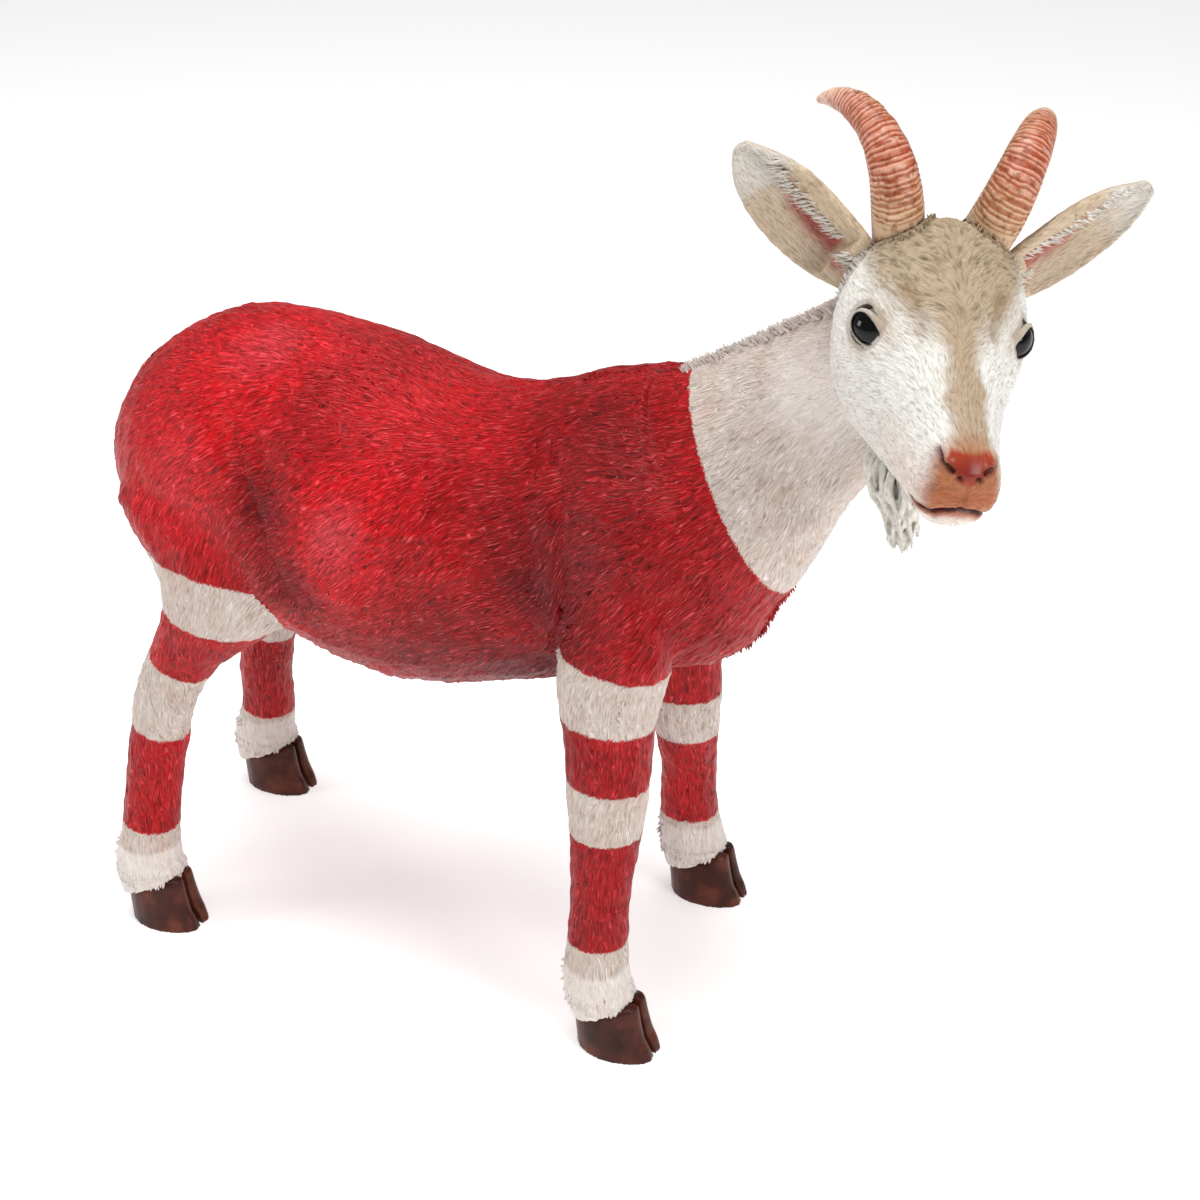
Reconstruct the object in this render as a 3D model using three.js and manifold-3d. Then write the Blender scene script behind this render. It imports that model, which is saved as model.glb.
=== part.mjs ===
// Life-size standing goat statue with its head turned to its right: a hollow cast resin
// torso in two halves, hollow neck and head castings, solid legs cast round bent steel
// rods, separate hooves, horns, ears, beard and tail, and glass eyes.
//
// Millimetres. +X runs to the chest, +Y to the goat's left, +Z up, and the soles are on z = 0.
// The origin is under the middle of the whole statue's box.
import * as THREE from 'three';
import { mergeVertices } from 'three/addons/utils/BufferGeometryUtils.js';
import Module from 'manifold-3d';

const wasm = await Module();
wasm.setup();

// ---------------------------------------------------------------- driving dimensions

const TRUNK_LENGTH = 580; // rump to chest
const TRUNK_WIDTH = 272; // across the belly
const TRUNK_DEPTH = 262; // back to belly at the deepest rib
const AXIS_HEIGHT = 377; // ground to the middle of the deepest rib
const NECK_LENGTH = 200; // neck joint to the middle of the skull's back
const NECK_RISE = 44; // degrees that the neck climbs
const HEAD_LENGTH = 200; // poll to nose
const HEAD_TURN = -61; // degrees that the head looks to the goat's right
const HEAD_NOD = 18; // degrees that the nose points down
const HEAD_TILT = -8; // degrees that the head leans over its own length
const HORN_BASE_DIAMETER = 40;
const HORN_LENGTH = 132; // along the curve, root to tip
const EAR_LENGTH = 124; // along the middle, root to tip
const EAR_WIDTH = 64;
const EAR_THICKNESS = 4.5;
const EYE_DIAMETER = 26;
const LEG_TRACK = 236; // between the middles of the two hooves of a pair
const FRONT_STRIDE = 10; // how far the left front leg swings back from its own shoulder
const HIND_STRIDE = 34; // the same for the left hind leg
const HOOF_LENGTH = 76;
const HOOF_WIDTH = 50;
const HOOF_HEIGHT = 38; // at the middle of the hoof's sloping top
const HOOF_SLOPE = 24; // degrees that the hoof's top falls to the heel
const CLEFT_WIDTH = 4; // slot between the two claws
const BEARD_LENGTH = 76;
const BEARD_WIDTH = 52;
const TAIL_LENGTH = 92;
const TAIL_WIDTH = 36;

const WALL = 6; // resin wall of every hollow casting
const TAPE_THICKNESS = 3; // laminated strip over a seam, inside
const TAPE_WIDTH = 36;
const ROD_DIAMETER = 10; // steel rod in each leg
const PEG_DIAMETER = 14; // peg under each horn and ear
const PEG_LENGTH = 14; // how far a peg goes past the head's surface
const GAP = 0.3; // glue line between two pieces that touch
const FAR = 2000; // a size past every edge of the statue, for cutting blocks

// ---------------------------------------------------------------- shapes

const FORWARD = new THREE.Vector3(1, 0, 0);
const UP = new THREE.Vector3(0, 0, 1);
const vec = (x, y, z) => new THREE.Vector3(x, y, z);

// One rib of a loft: an oval across the centre line at a point. `side` is its half width,
// `over` and `under` are its reach towards and away from the loft's up direction.
const rib = (at, side, over, under) => ({ at, side, over, under });

// A closed skin over a row of ribs, with a pole at each end, `caps` beyond the end ribs.
// The ribs stand square to the centre line, or to `across` where that is given.
function loft(ribs, { up = UP, across, sides = 16, steps = 2, inset = 0, caps = [4, 4] } = {}) {
  const line = new THREE.CatmullRomCurve3(ribs.map((r) => r.at), false, 'catmullrom');
  const reaches = ribs.map((r) => vec(r.side, r.over, r.under));
  const reach = new THREE.CatmullRomCurve3(reaches, false, 'catmullrom');
  const rings = (ribs.length - 1) * steps + 1;
  const points = [];
  const ends = [];
  for (let ring = 0; ring < rings; ring++) {
    const t = ring / (rings - 1);
    const along = across ?? line.getTangent(t);
    const drawnIn = ring === 0 ? inset : ring === rings - 1 ? -inset : 0;
    const centre = line.getPoint(t).addScaledVector(along, drawnIn);
    if (ring === 0) ends.push(centre.clone().addScaledVector(along, -caps[0]));
    if (ring === rings - 1) ends.push(centre.clone().addScaledVector(along, caps[1]));
    const over = up.clone().addScaledVector(along, -up.dot(along)).normalize();
    const side = over.clone().cross(along);
    const size = reach.getPoint(t).subScalar(inset);
    for (let k = 0; k < sides; k++) {
      const turn = (2 * Math.PI * k) / sides;
      const lift = Math.cos(turn) * (Math.cos(turn) > 0 ? size.y : size.z);
      const point = centre.clone().addScaledVector(side, Math.sin(turn) * size.x);
      points.push(point.addScaledVector(over, lift));
    }
  }
  points.push(...ends);

  const faces = [];
  for (let k = 0; k < sides; k++) {
    const next = (k + 1) % sides;
    faces.push(points.length - 2, k, next);
    for (let ring = 0; ring < rings - 1; ring++) {
      const [a, b] = [ring * sides + k, ring * sides + next];
      faces.push(a, a + sides, b + sides, a, b + sides, b);
    }
    const last = (rings - 1) * sides;
    faces.push(points.length - 1, last + next, last + k);
  }
  const skin = new THREE.BufferGeometry().setFromPoints(points);
  return skin.setIndex(faces);
}

// A block whose near face passes through `at`, square to `direction`, and runs on from there.
function blockBeyond(at, direction, depth = FAR) {
  const block = new THREE.BoxGeometry(FAR, FAR, depth).translate(0, 0, depth / 2);
  block.applyQuaternion(new THREE.Quaternion().setFromUnitVectors(UP, direction));
  return block.translate(at.x, at.y, at.z);
}

// A round bar between two points.
function bar(from, to, diameter, sides = 12) {
  const along = to.clone().sub(from);
  const length = along.length();
  const round = new THREE.CylinderGeometry(diameter / 2, diameter / 2, length, sides);
  round.rotateX(Math.PI / 2).translate(0, 0, length / 2);
  round.applyQuaternion(new THREE.Quaternion().setFromUnitVectors(UP, along.normalize()));
  return round.translate(from.x, from.y, from.z);
}

// A round rod along a curve.
function rodAlong(points, diameter) {
  const outline = new THREE.Shape().absarc(0, 0, diameter / 2, 0, 2 * Math.PI);
  const path = new THREE.CatmullRomCurve3(points, false, 'catmullrom');
  const options = { extrudePath: path, steps: points.length, curveSegments: 4 };
  return new THREE.ExtrudeGeometry(outline, options);
}

// ---------------------------------------------------------------- solids

function solid(geometry) {
  const bare = geometry.clone();
  bare.deleteAttribute('normal');
  bare.deleteAttribute('uv');
  const merged = mergeVertices(bare, 1e-4);
  const vertProperties = Float32Array.from(merged.attributes.position.array);
  const triVerts = Uint32Array.from(merged.index.array);
  return new wasm.Manifold(new wasm.Mesh({ numProp: 3, vertProperties, triVerts }));
}

function geometryOf(piece) {
  const { vertProperties, triVerts, numProp } = piece.getMesh();
  const geometry = new THREE.BufferGeometry();
  const positions = new Float32Array((vertProperties.length / numProp) * 3);
  for (let i = 0; i < positions.length / 3; i++) {
    positions.set(vertProperties.subarray(i * numProp, i * numProp + 3), i * 3);
  }
  geometry.setAttribute('position', new THREE.BufferAttribute(positions, 3));
  geometry.setIndex(new THREE.BufferAttribute(triVerts, 1));
  geometry.computeVertexNormals();
  return geometry;
}

const paint = (color, roughness, metalness = 0) => ({ color, roughness, metalness });
const RED_PAINT = paint('#b01024', 0.55);
const WHITE_PAINT = paint('#f1ece4', 0.6);
const TAN_PAINT = paint('#e2d2bd', 0.6);
const HORN_PAINT = paint('#c98f76', 0.5);
const HOOF_PAINT = paint('#45241f', 0.4);
const EYE_GLASS = paint('#1d120d', 0.08);
const LAMINATE = paint('#c9c4ae', 0.8);
const STEEL = paint('#8d9096', 0.35, 1);

function piece(name, geometry, finish) {
  const mesh = new THREE.Mesh(geometry, new THREE.MeshStandardMaterial(finish));
  mesh.name = name;
  return mesh;
}

// ---------------------------------------------------------------- trunk and neck

// A rib of the trunk in percent: along the trunk from the rump, its middle's rise above the
// axis and its reaches in percent of the trunk's depth, its half width of the trunk's width.
function trunkRib(along, rise, side, over, under) {
  const x = (along / 100 - 0.5) * TRUNK_LENGTH;
  const z = AXIS_HEIGHT + (rise / 100) * TRUNK_DEPTH;
  const depth = TRUNK_DEPTH / 100;
  return rib(vec(x, 0, z), (side * TRUNK_WIDTH) / 100, over * depth, under * depth);
}

const trunkRibs = [
  trunkRib(1.5, 6, 13, 14, 17),
  trunkRib(5, 7.5, 26, 26, 30),
  trunkRib(10.5, 9, 36, 39, 38),
  trunkRib(18, 9.5, 42, 49, 42),
  trunkRib(27, 8.5, 44, 52, 43.5),
  trunkRib(38, 3.5, 48, 53, 47.5),
  trunkRib(50, 0, 50, 49.5, 50),
  trunkRib(62, 2, 48, 45.5, 45.5),
  trunkRib(73.5, 8.5, 42.5, 45, 44.5),
  trunkRib(83.5, 19.5, 38, 43, 50.5),
  trunkRib(89.5, 27, 34.5, 39.5, 46),
];
const neckJoint = trunkRib(94.5, 33.8, 30, 36, 36);

// A rib of the neck: how far along the neck it is in percent, how far the neck has bent
// to the goat's right there in degrees, and its reaches in percent of the joint's.
function neckRib(along, bend, side, over, under) {
  const rise = THREE.MathUtils.degToRad(NECK_RISE);
  const turn = THREE.MathUtils.degToRad(-bend);
  const out = vec(Math.cos(rise) * Math.cos(turn), Math.cos(rise) * Math.sin(turn), Math.sin(rise));
  const at = neckJoint.at.clone().addScaledVector(out, (along / 100) * NECK_LENGTH);
  const { side: widest, over: top, under: throat } = neckJoint;
  return rib(at, (side * widest) / 100, (over * top) / 100, (under * throat) / 100);
}

const neckRibs = [
  neckRib(32, 2, 78, 81, 72),
  neckRib(65, 5, 65, 68, 62),
  neckRib(100, 7.5, 58, 56, 54),
];
const bodyRibs = [...trunkRibs, neckJoint, ...neckRibs];
const bodySkin = (inset = 0) => loft(bodyRibs, { inset, sides: 26, steps: 2, caps: [6, 6] });
const bodyLining = (inset) => loft(bodyRibs, { inset, sides: 20, steps: 1, caps: [6, 6] });

// The joint between trunk and neck is a flat cut, square to the centre line.
const jointDirection = vec(0.9, 0, 0.437).normalize();
const jointPlane = (offset) =>
  blockBeyond(neckJoint.at.clone().addScaledVector(jointDirection, offset), jointDirection);

// ---------------------------------------------------------------- legs

// A rib of a leg in percent of the axis height: ahead of the leg's line, out from the
// middle of the hoof, up from the ground, then half width and reaches ahead and behind.
// What is measured across the goat follows the track instead, so that longer legs stay as
// far apart as their hooves are.
const TRACK_SHARE = 62.6; // the track in percent of the axis height, as the goat stands
const FRONT_RIBS = [
  [-4, -18, 127, 6, 9, 9],
  [-4, -16, 117, 9, 14, 14],
  [-4, -14, 105, 10, 14.5, 15.5],
  [-4, -11.5, 93, 10, 12, 13.5],
  [-4, -9.5, 81, 9, 9.8, 10.6],
  [-3.8, -8, 69.5, 8, 8.8, 9],
  [-3.5, -6.3, 57, 7.4, 8.2, 7.7],
  [-3.4, -5, 49, 7.1, 7.5, 7.2],
  [-3, -2.5, 37, 6.3, 6.4, 6.4],
  [-3, -1, 25, 6.4, 6.4, 6.7],
  [-2.4, 0, 16.5, 7.1, 6.9, 7.8],
  [-0.5, 0, 10, 7.6, 7.8, 8.2],
  [2, 0, 2, 7.8, 8.2, 8.2],
];
const HIND_RIBS = [
  [13, -18, 123, 7, 12, 9],
  [11, -15.5, 114, 11, 21, 15.5],
  [10, -12, 103, 12.2, 25, 19.5],
  [18, -9.5, 91.5, 12.2, 19.5, 18],
  [18, -8, 80.5, 11, 15.5, 14.5],
  [6.5, -6.5, 67, 7.6, 9.5, 8.2],
  [2.5, -5, 56.5, 6.5, 7, 8],
  [0.8, -4, 48, 6.4, 6.6, 7.2],
  [-1.5, -2, 33, 6.4, 6.4, 6.7],
  [-1.8, 0, 23, 6.5, 6.6, 6.8],
  [-2.6, 0, 16, 7.2, 7.2, 8.2],
  [-1.5, 0, 10, 7.8, 8.6, 8.6],
  [0, 0, 2, 8, 9, 8.6],
];

// side is -1 for the goat's right and 1 for its left. The stride grows down the leg, from
// nothing at the top to its whole length at the hoof.
function legRibs(table, along, side, stride) {
  const unit = AXIS_HEIGHT / 100;
  const across = LEG_TRACK / TRACK_SHARE;
  const line = (along / 100 - 0.5) * TRUNK_LENGTH;
  const top = table[0][2];
  return table.map(([ahead, out, height, wide, fore, aft]) => {
    const x = line + ahead * unit - stride * (1 - height / top);
    const y = side * (LEG_TRACK / 2 + out * across);
    return rib(vec(x, y, height * unit), wide * across, fore * unit, aft * unit);
  });
}

const DOWN = vec(0, 0, -1);
const legSkin = (ribs, inset = 0) =>
  loft(ribs, { up: FORWARD, across: DOWN, sides: 12, inset, caps: [10, 2] });

// The hoof under a leg: a tapered block with a flat sole, a sloping top and a cleft.
function hoofOf(ribs, topPlane) {
  const ankle = ribs[ribs.length - 2].at;
  const ahead = (share) => vec(ankle.x + share * HOOF_LENGTH, ankle.y, 0);
  const [length, width] = [HOOF_LENGTH / 2, HOOF_WIDTH / 2];
  const rows = [
    rib(ahead(0.02).setZ(HOOF_HEIGHT * 1.7), width * 0.86, length * 0.78, length * 0.82),
    rib(ahead(0.05).setZ(HOOF_HEIGHT), width * 0.92, length * 0.86, length * 0.84),
    rib(ahead(0.1).setZ(HOOF_HEIGHT * 0.4), width * 0.99, length * 0.95, length * 0.88),
    rib(ahead(0.13), width, length, length * 0.9),
    rib(ahead(0.15).setZ(-HOOF_HEIGHT * 0.3), width, length, length * 0.9),
  ];
  const cleft = new THREE.BoxGeometry(HOOF_LENGTH, CLEFT_WIDTH, FAR);
  cleft.translate(ankle.x + HOOF_LENGTH * 0.58, ankle.y, 0);
  return solid(loft(rows, { up: FORWARD, across: DOWN, sides: 18, steps: 2 }))
    .subtract(solid(blockBeyond(vec(0, 0, 0), DOWN)))
    .subtract(topPlane)
    .subtract(solid(cleft));
}

const LEGS = [
  { name: 'front_right', table: FRONT_RIBS, along: 86.2, side: -1, stride: 0 },
  { name: 'front_left', table: FRONT_RIBS, along: 84.5, side: 1, stride: FRONT_STRIDE },
  { name: 'hind_right', table: HIND_RIBS, along: 12.1, side: -1, stride: 0 },
  { name: 'hind_left', table: HIND_RIBS, along: 12.1, side: 1, stride: HIND_STRIDE },
];

const statue = new THREE.Group();
const skin = solid(bodySkin());
const hollow = solid(bodyLining(WALL));
const bond = WALL + GAP;
const laminate = solid(bodyLining(bond)).subtract(solid(bodyLining(bond + TAPE_THICKNESS)));

// One collar bridges the neck joint and one strip the seam down the middle, both inside.
const endOf = (at, direction, side) => {
  const outwards = direction.clone().multiplyScalar(side);
  return solid(blockBeyond(at.clone().addScaledVector(outwards, TAPE_WIDTH / 2), outwards));
};
const LEFT = vec(0, 1, 0);
let collar = laminate
  .subtract(endOf(neckJoint.at, jointDirection, 1))
  .subtract(endOf(neckJoint.at, jointDirection, -1));
let tape = laminate
  .subtract(solid(jointPlane(-TAPE_WIDTH / 2 - GAP)))
  .subtract(endOf(neckJoint.at, LEFT, 1))
  .subtract(endOf(neckJoint.at, LEFT, -1));
let torso = skin.subtract(hollow).subtract(solid(jointPlane(-GAP / 2)));

for (const { name, table, along, side, stride } of LEGS) {
  const ribs = legRibs(table, along, side, stride);
  const ankle = ribs[ribs.length - 2].at;
  const slope = THREE.MathUtils.degToRad(HOOF_SLOPE);
  const down = vec(Math.sin(slope), 0, -Math.cos(slope));
  const joint = vec(ankle.x, ankle.y, HOOF_HEIGHT);
  const jointUnder = joint.clone().addScaledVector(down, GAP);
  const belowJoint = solid(blockBeyond(joint, down));
  const aboveJoint = solid(blockBeyond(jointUnder, down.clone().negate()));

  // The rod follows the leg's middle from inside the hoof to inside the leg's top.
  const foot = vec(ankle.x, ankle.y, HOOF_HEIGHT * 0.45);
  const middles = ribs.slice(1, -2).map((r) => r.at).reverse();
  const boreFoot = foot.clone().setZ(foot.z - GAP);
  const rod = rodAlong([foot, ankle, ...middles], ROD_DIAMETER);
  const bore = solid(rodAlong([boreFoot, ankle, ...middles], ROD_DIAMETER + 2 * GAP));

  const leg = solid(legSkin(ribs)).subtract(belowJoint).subtract(bore);
  const hoof = hoofOf(ribs, aboveJoint).subtract(bore);
  const clearance = solid(legSkin(ribs, -GAP));
  torso = torso.subtract(clearance);
  collar = collar.subtract(clearance);
  tape = tape.subtract(clearance);
  statue.add(piece(`${name}_leg`, geometryOf(leg), RED_PAINT));
  statue.add(piece(`${name}_hoof`, geometryOf(hoof), HOOF_PAINT));
  statue.add(piece(`${name}_rod`, rod, STEEL));
}

statue.add(piece('neck_joint_collar', geometryOf(collar), LAMINATE));
statue.add(piece('torso_seam_tape', geometryOf(tape), LAMINATE));

// The tail is cast apart and lies against the rump, its root on the torso.
const TAIL_ROOT = trunkRib(5.2, 30, 0, 0, 0).at;
const TAIL_CURVE = [
  [0, 0, 0.8],
  [0.2, -0.14, 1],
  [0.31, -0.42, 1],
  [0.34, -0.74, 0.9],
  [0.32, -1, 0.5],
];
const tailRibs = TAIL_CURVE.map(([back, up, share]) => {
  const at = TAIL_ROOT.clone().add(vec(-back, 0, up).multiplyScalar(TAIL_LENGTH));
  return rib(at, share * TAIL_WIDTH / 2, share * TAIL_WIDTH / 4, share * TAIL_WIDTH / 4);
});
const tail = solid(loft(tailRibs, { up: vec(-1, 0, 1).normalize(), sides: 10 }))
  .subtract(solid(bodySkin(-GAP)));
statue.add(piece('tail', geometryOf(tail), RED_PAINT));

for (const [name, side] of [['torso_shell_right', -1], ['torso_shell_left', 1]]) {
  const otherHalf = solid(blockBeyond(vec(0, (side * GAP) / 2, 0), vec(0, -side, 0)));
  statue.add(piece(name, geometryOf(torso.subtract(otherHalf)), RED_PAINT));
}

// ---------------------------------------------------------------- head

const head = new THREE.Group();
head.rotation.set(
  THREE.MathUtils.degToRad(HEAD_TILT),
  THREE.MathUtils.degToRad(HEAD_NOD),
  THREE.MathUtils.degToRad(HEAD_TURN),
  'ZYX',
);

// Points on the head in percent of its length, from the middle between the eyes.
const onHead = (x, y, z) => vec(x, y, z).multiplyScalar(HEAD_LENGTH / 100);
const headRib = (x, top, bottom, side) => {
  const half = ((top - bottom) / 2 / 100) * HEAD_LENGTH;
  return rib(onHead(x, 0, (top + bottom) / 2), (side / 100) * HEAD_LENGTH, half, half);
};
const headRibs = [
  headRib(-35, 8, -16, 12),
  headRib(-29.5, 25, -32, 25),
  headRib(-18, 29, -45, 33),
  headRib(-5, 24, -51.5, 33.5),
  headRib(8, 17.5, -51.5, 28.5),
  headRib(22, 11, -48.5, 22),
  headRib(37, 5.5, -43.5, 17.5),
  headRib(50, 1.5, -39.5, 15),
  headRib(60, -2, -35, 14),
  headRib(66, -7, -29, 11),
];
const headSkin = (inset = 0) =>
  loft(headRibs, { across: FORWARD, inset, sides: 24, steps: 2, caps: [5, 3] });
const headLining = () =>
  loft(headRibs, { across: FORWARD, inset: WALL, sides: 16, steps: 1, caps: [5, 3] });

// The neck's last rib sits here on the head.
const nape = onHead(-22, 0, -22);
head.position.copy(neckRibs[neckRibs.length - 1].at).sub(nape.clone().applyEuler(head.rotation));
head.updateMatrix();
const toHead = head.matrix.clone().invert();
const neckHollowOnHead = bodyLining(WALL).applyMatrix4(toHead);
const headInPlace = headSkin(-GAP).applyMatrix4(head.matrix);

const EYE_AT = onHead(1, 24.5, -0.5);
const HORN_ROOT = onHead(-28, 16.5, 22);
const EAR_ROOT = onHead(-25, 25, 1);
const mirrored = (point, side) => vec(point.x, side * point.y, point.z);

// A horn's ribs in shares of its length beyond its root: back, out, up and its girth.
const HORN_CURVE = [
  [0.02, -0.03, -0.1, 1],
  [0.03, 0.02, 0.08, 0.98],
  [0.1, 0.08, 0.26, 0.9],
  [0.26, 0.16, 0.37, 0.76],
  [0.46, 0.25, 0.38, 0.58],
  [0.63, 0.33, 0.31, 0.36],
  [0.72, 0.38, 0.23, 0.16],
];
function hornSkin(side, inset = 0) {
  const ribs = HORN_CURVE.map(([back, out, up, girth]) => {
    const at = mirrored(HORN_ROOT, side);
    at.add(vec(-back, side * out, up).multiplyScalar(HORN_LENGTH));
    const half = (girth * HORN_BASE_DIAMETER) / 2;
    return rib(at, half * 0.94, half, half);
  });
  return loft(ribs, { up: FORWARD, inset, sides: 12, caps: [2, 2] });
}

// An ear's ribs in shares of its length: back, out, up and its half width's share.
const EAR_CURVE = [
  [0.0, -0.06, -0.02, 0.62],
  [0.08, 0.14, 0.09, 0.9],
  [0.17, 0.34, 0.21, 1],
  [0.24, 0.53, 0.35, 0.92],
  [0.28, 0.67, 0.47, 0.62],
  [0.3, 0.77, 0.57, 0.22],
];
function earOf(side) {
  const cup = 2.2 * EAR_THICKNESS;
  const opening = vec(0.97, 0.1 * side, -0.2).normalize();
  const leaf = EAR_CURVE.map(([back, out, up, share]) => {
    const at = mirrored(EAR_ROOT, side);
    at.add(vec(-back, side * out, up).multiplyScalar(EAR_LENGTH));
    return rib(at, (share * EAR_WIDTH) / 2, cup * Math.sqrt(share), cup * Math.sqrt(share));
  });
  const scoop = leaf.slice(1).map(({ at, side: half, over, under }) => {
    const ahead = at.clone().addScaledVector(opening, EAR_THICKNESS);
    const narrow = Math.max(half - EAR_THICKNESS, 1);
    return rib(ahead, narrow, over * 2, Math.max(under - EAR_THICKNESS * 0.3, 1));
  });
  const shape = { up: opening, sides: 12, caps: [2, 2] };
  return solid(loft(leaf, shape)).subtract(solid(loft(scoop, { ...shape, caps: [1, -3] })));
}

let skull = solid(headSkin()).subtract(solid(headLining())).subtract(solid(neckHollowOnHead));
const overHead = solid(headSkin(-GAP));

for (const [name, side] of [['right', -1], ['left', 1]]) {
  const eyeAt = mirrored(EYE_AT, side);
  const ball = (diameter) => new THREE.SphereGeometry(diameter / 2, 14, 10).rotateX(Math.PI / 2);
  skull = skull.subtract(solid(ball(EYE_DIAMETER + 2 * GAP).translate(eyeAt.x, eyeAt.y, eyeAt.z)));
  const eye = piece(`${name}_eye`, ball(EYE_DIAMETER), EYE_GLASS);
  eye.position.copy(eyeAt);
  head.add(eye);

  // Horn and ear each stand on a peg that goes through the head's wall, and the ear's root
  // is cut back from the horn.
  const earShape = earOf(side).subtract(solid(hornSkin(side, -GAP)));
  const horn = { shape: solid(hornSkin(side)), root: HORN_ROOT, out: vec(-0.1, 0.25, 1) };
  const ear = { shape: earShape, root: EAR_ROOT, out: vec(-0.3, 0.8, 0.5) };
  for (const [node, { shape, root, out }, finish] of [
    [`${name}_horn`, horn, HORN_PAINT],
    [`${name}_ear`, ear, TAN_PAINT],
  ]) {
    const from = mirrored(root, side);
    const direction = mirrored(out, side).normalize();
    const inner = from.clone().addScaledVector(direction, -PEG_LENGTH);
    const outer = from.clone().addScaledVector(direction, PEG_LENGTH);
    skull = skull.subtract(solid(bar(inner, outer, PEG_DIAMETER + 2 * GAP)));
    const whole = shape.subtract(overHead).add(solid(bar(inner, outer, PEG_DIAMETER)));
    head.add(piece(node, geometryOf(whole), finish));
  }
}
head.add(piece('head_shell', geometryOf(skull), TAN_PAINT));

// The beard hangs straight down from the chin, whatever way the head leans.
const BEARD_ROOT = onHead(15, -5, -42);
const straightDown = DOWN.clone().transformDirection(toHead);
const BEARD_CURVE = [
  [0, 0, 0.9],
  [0.3, 0, 1],
  [0.6, -0.03, 0.85],
  [0.85, -0.02, 0.55],
  [1, 0.04, 0.3],
];
const beardRibs = BEARD_CURVE.map(([drop, ahead, share]) => {
  const at = BEARD_ROOT.clone().addScaledVector(straightDown, drop * BEARD_LENGTH);
  at.addScaledVector(FORWARD, ahead * BEARD_LENGTH);
  return rib(at, share * BEARD_WIDTH / 3, share * BEARD_WIDTH / 2, share * BEARD_WIDTH / 2);
});
const beard = solid(loft(beardRibs, { up: FORWARD, sides: 10, caps: [2, 4] })).subtract(overHead);
head.add(piece('beard', geometryOf(beard), WHITE_PAINT));

statue.add(head);

const neck = skin
  .intersect(solid(jointPlane(GAP / 2)))
  .subtract(hollow)
  .subtract(solid(headInPlace));
statue.add(piece('neck_shell', geometryOf(neck), WHITE_PAINT));

// ---------------------------------------------------------------- place

const box = new THREE.Box3().setFromObject(statue, true);
const middle = box.getCenter(vec(0, 0, 0));
statue.position.set(-middle.x, -middle.y, 0);
statue.updateMatrixWorld(true);

export default statue;
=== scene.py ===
"""A life-size standing goat, cast in resin in separate pieces, joined, and painted red and white."""
import math

import bmesh
import bpy
import numpy as np
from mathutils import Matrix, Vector
from mathutils.bvhtree import BVHTree


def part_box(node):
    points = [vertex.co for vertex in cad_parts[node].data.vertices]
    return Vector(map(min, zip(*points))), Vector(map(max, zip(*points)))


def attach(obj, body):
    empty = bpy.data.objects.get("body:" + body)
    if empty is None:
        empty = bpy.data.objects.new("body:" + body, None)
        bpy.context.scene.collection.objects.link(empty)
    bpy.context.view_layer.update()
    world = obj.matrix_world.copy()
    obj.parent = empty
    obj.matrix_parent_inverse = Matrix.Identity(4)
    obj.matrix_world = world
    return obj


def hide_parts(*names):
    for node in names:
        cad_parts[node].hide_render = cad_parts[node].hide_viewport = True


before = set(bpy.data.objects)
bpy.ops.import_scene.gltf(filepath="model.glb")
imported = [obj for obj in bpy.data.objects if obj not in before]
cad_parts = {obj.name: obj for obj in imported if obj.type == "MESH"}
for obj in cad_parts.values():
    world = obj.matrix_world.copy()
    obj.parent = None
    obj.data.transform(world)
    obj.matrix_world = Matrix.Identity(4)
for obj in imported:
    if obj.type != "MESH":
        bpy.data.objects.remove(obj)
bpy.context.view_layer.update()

bpy.ops.object.select_all(action="DESELECT")

# ---- Studio: a pale floor, a bright room and soft lamps ----
# The goat stands on a wide matt floor that glows a little, so that it shows as white. A large lamp
# hangs overhead, one stands at each side, and the walls of the room throw back their light.

LOOK_AT = Vector((0.0352, -0.0012, 0.345))
CAMERA_AROUND, CAMERA_UP, CAMERA_AWAY = math.radians(25), math.radians(27), 1.9
LAMPS_LOOK_AT = Vector((0, 0, 0.35))


def shade_of(code):
    """An sRGB hex colour as linear red, green, blue and alpha."""
    parts = [int(code[i : i + 2], 16) / 255 for i in (1, 3, 5)]
    return [c / 12.92 if c <= 0.04045 else ((c + 0.055) / 1.055) ** 2.4 for c in parts] + [1.0]


def add_node(tree, kind, sockets=None, **settings):
    """A shader node with its settings, and its sockets set or linked."""
    made = tree.nodes.new("ShaderNode" + kind)
    for name, value in settings.items():
        setattr(made, name, value)
    for name, value in (sockets or {}).items():
        if isinstance(value, bpy.types.NodeSocket):
            tree.links.new(value, made.inputs[name])
        else:
            made.inputs[name].default_value = value
    return made


def fresh_material(name):
    """An empty material: its tree, and the shader that its surface ends in."""
    material = bpy.data.materials.new(name)
    material.use_nodes = True
    tree = material.node_tree
    tree.nodes.clear()
    surface = add_node(tree, "BsdfPrincipled")
    add_node(tree, "OutputMaterial", {"Surface": surface.outputs[0]})
    return material, tree, surface


back = Vector(
    (
        math.sin(CAMERA_AROUND) * math.cos(CAMERA_UP),
        -math.cos(CAMERA_AROUND) * math.cos(CAMERA_UP),
        math.sin(CAMERA_UP),
    )
)
bpy.ops.object.camera_add(location=LOOK_AT + back * CAMERA_AWAY)
camera = bpy.context.object
camera.rotation_euler = back.to_track_quat("Z", "Y").to_euler()
camera.data.lens = 72
camera.data.sensor_width = 36
bpy.context.scene.camera = camera

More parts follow.
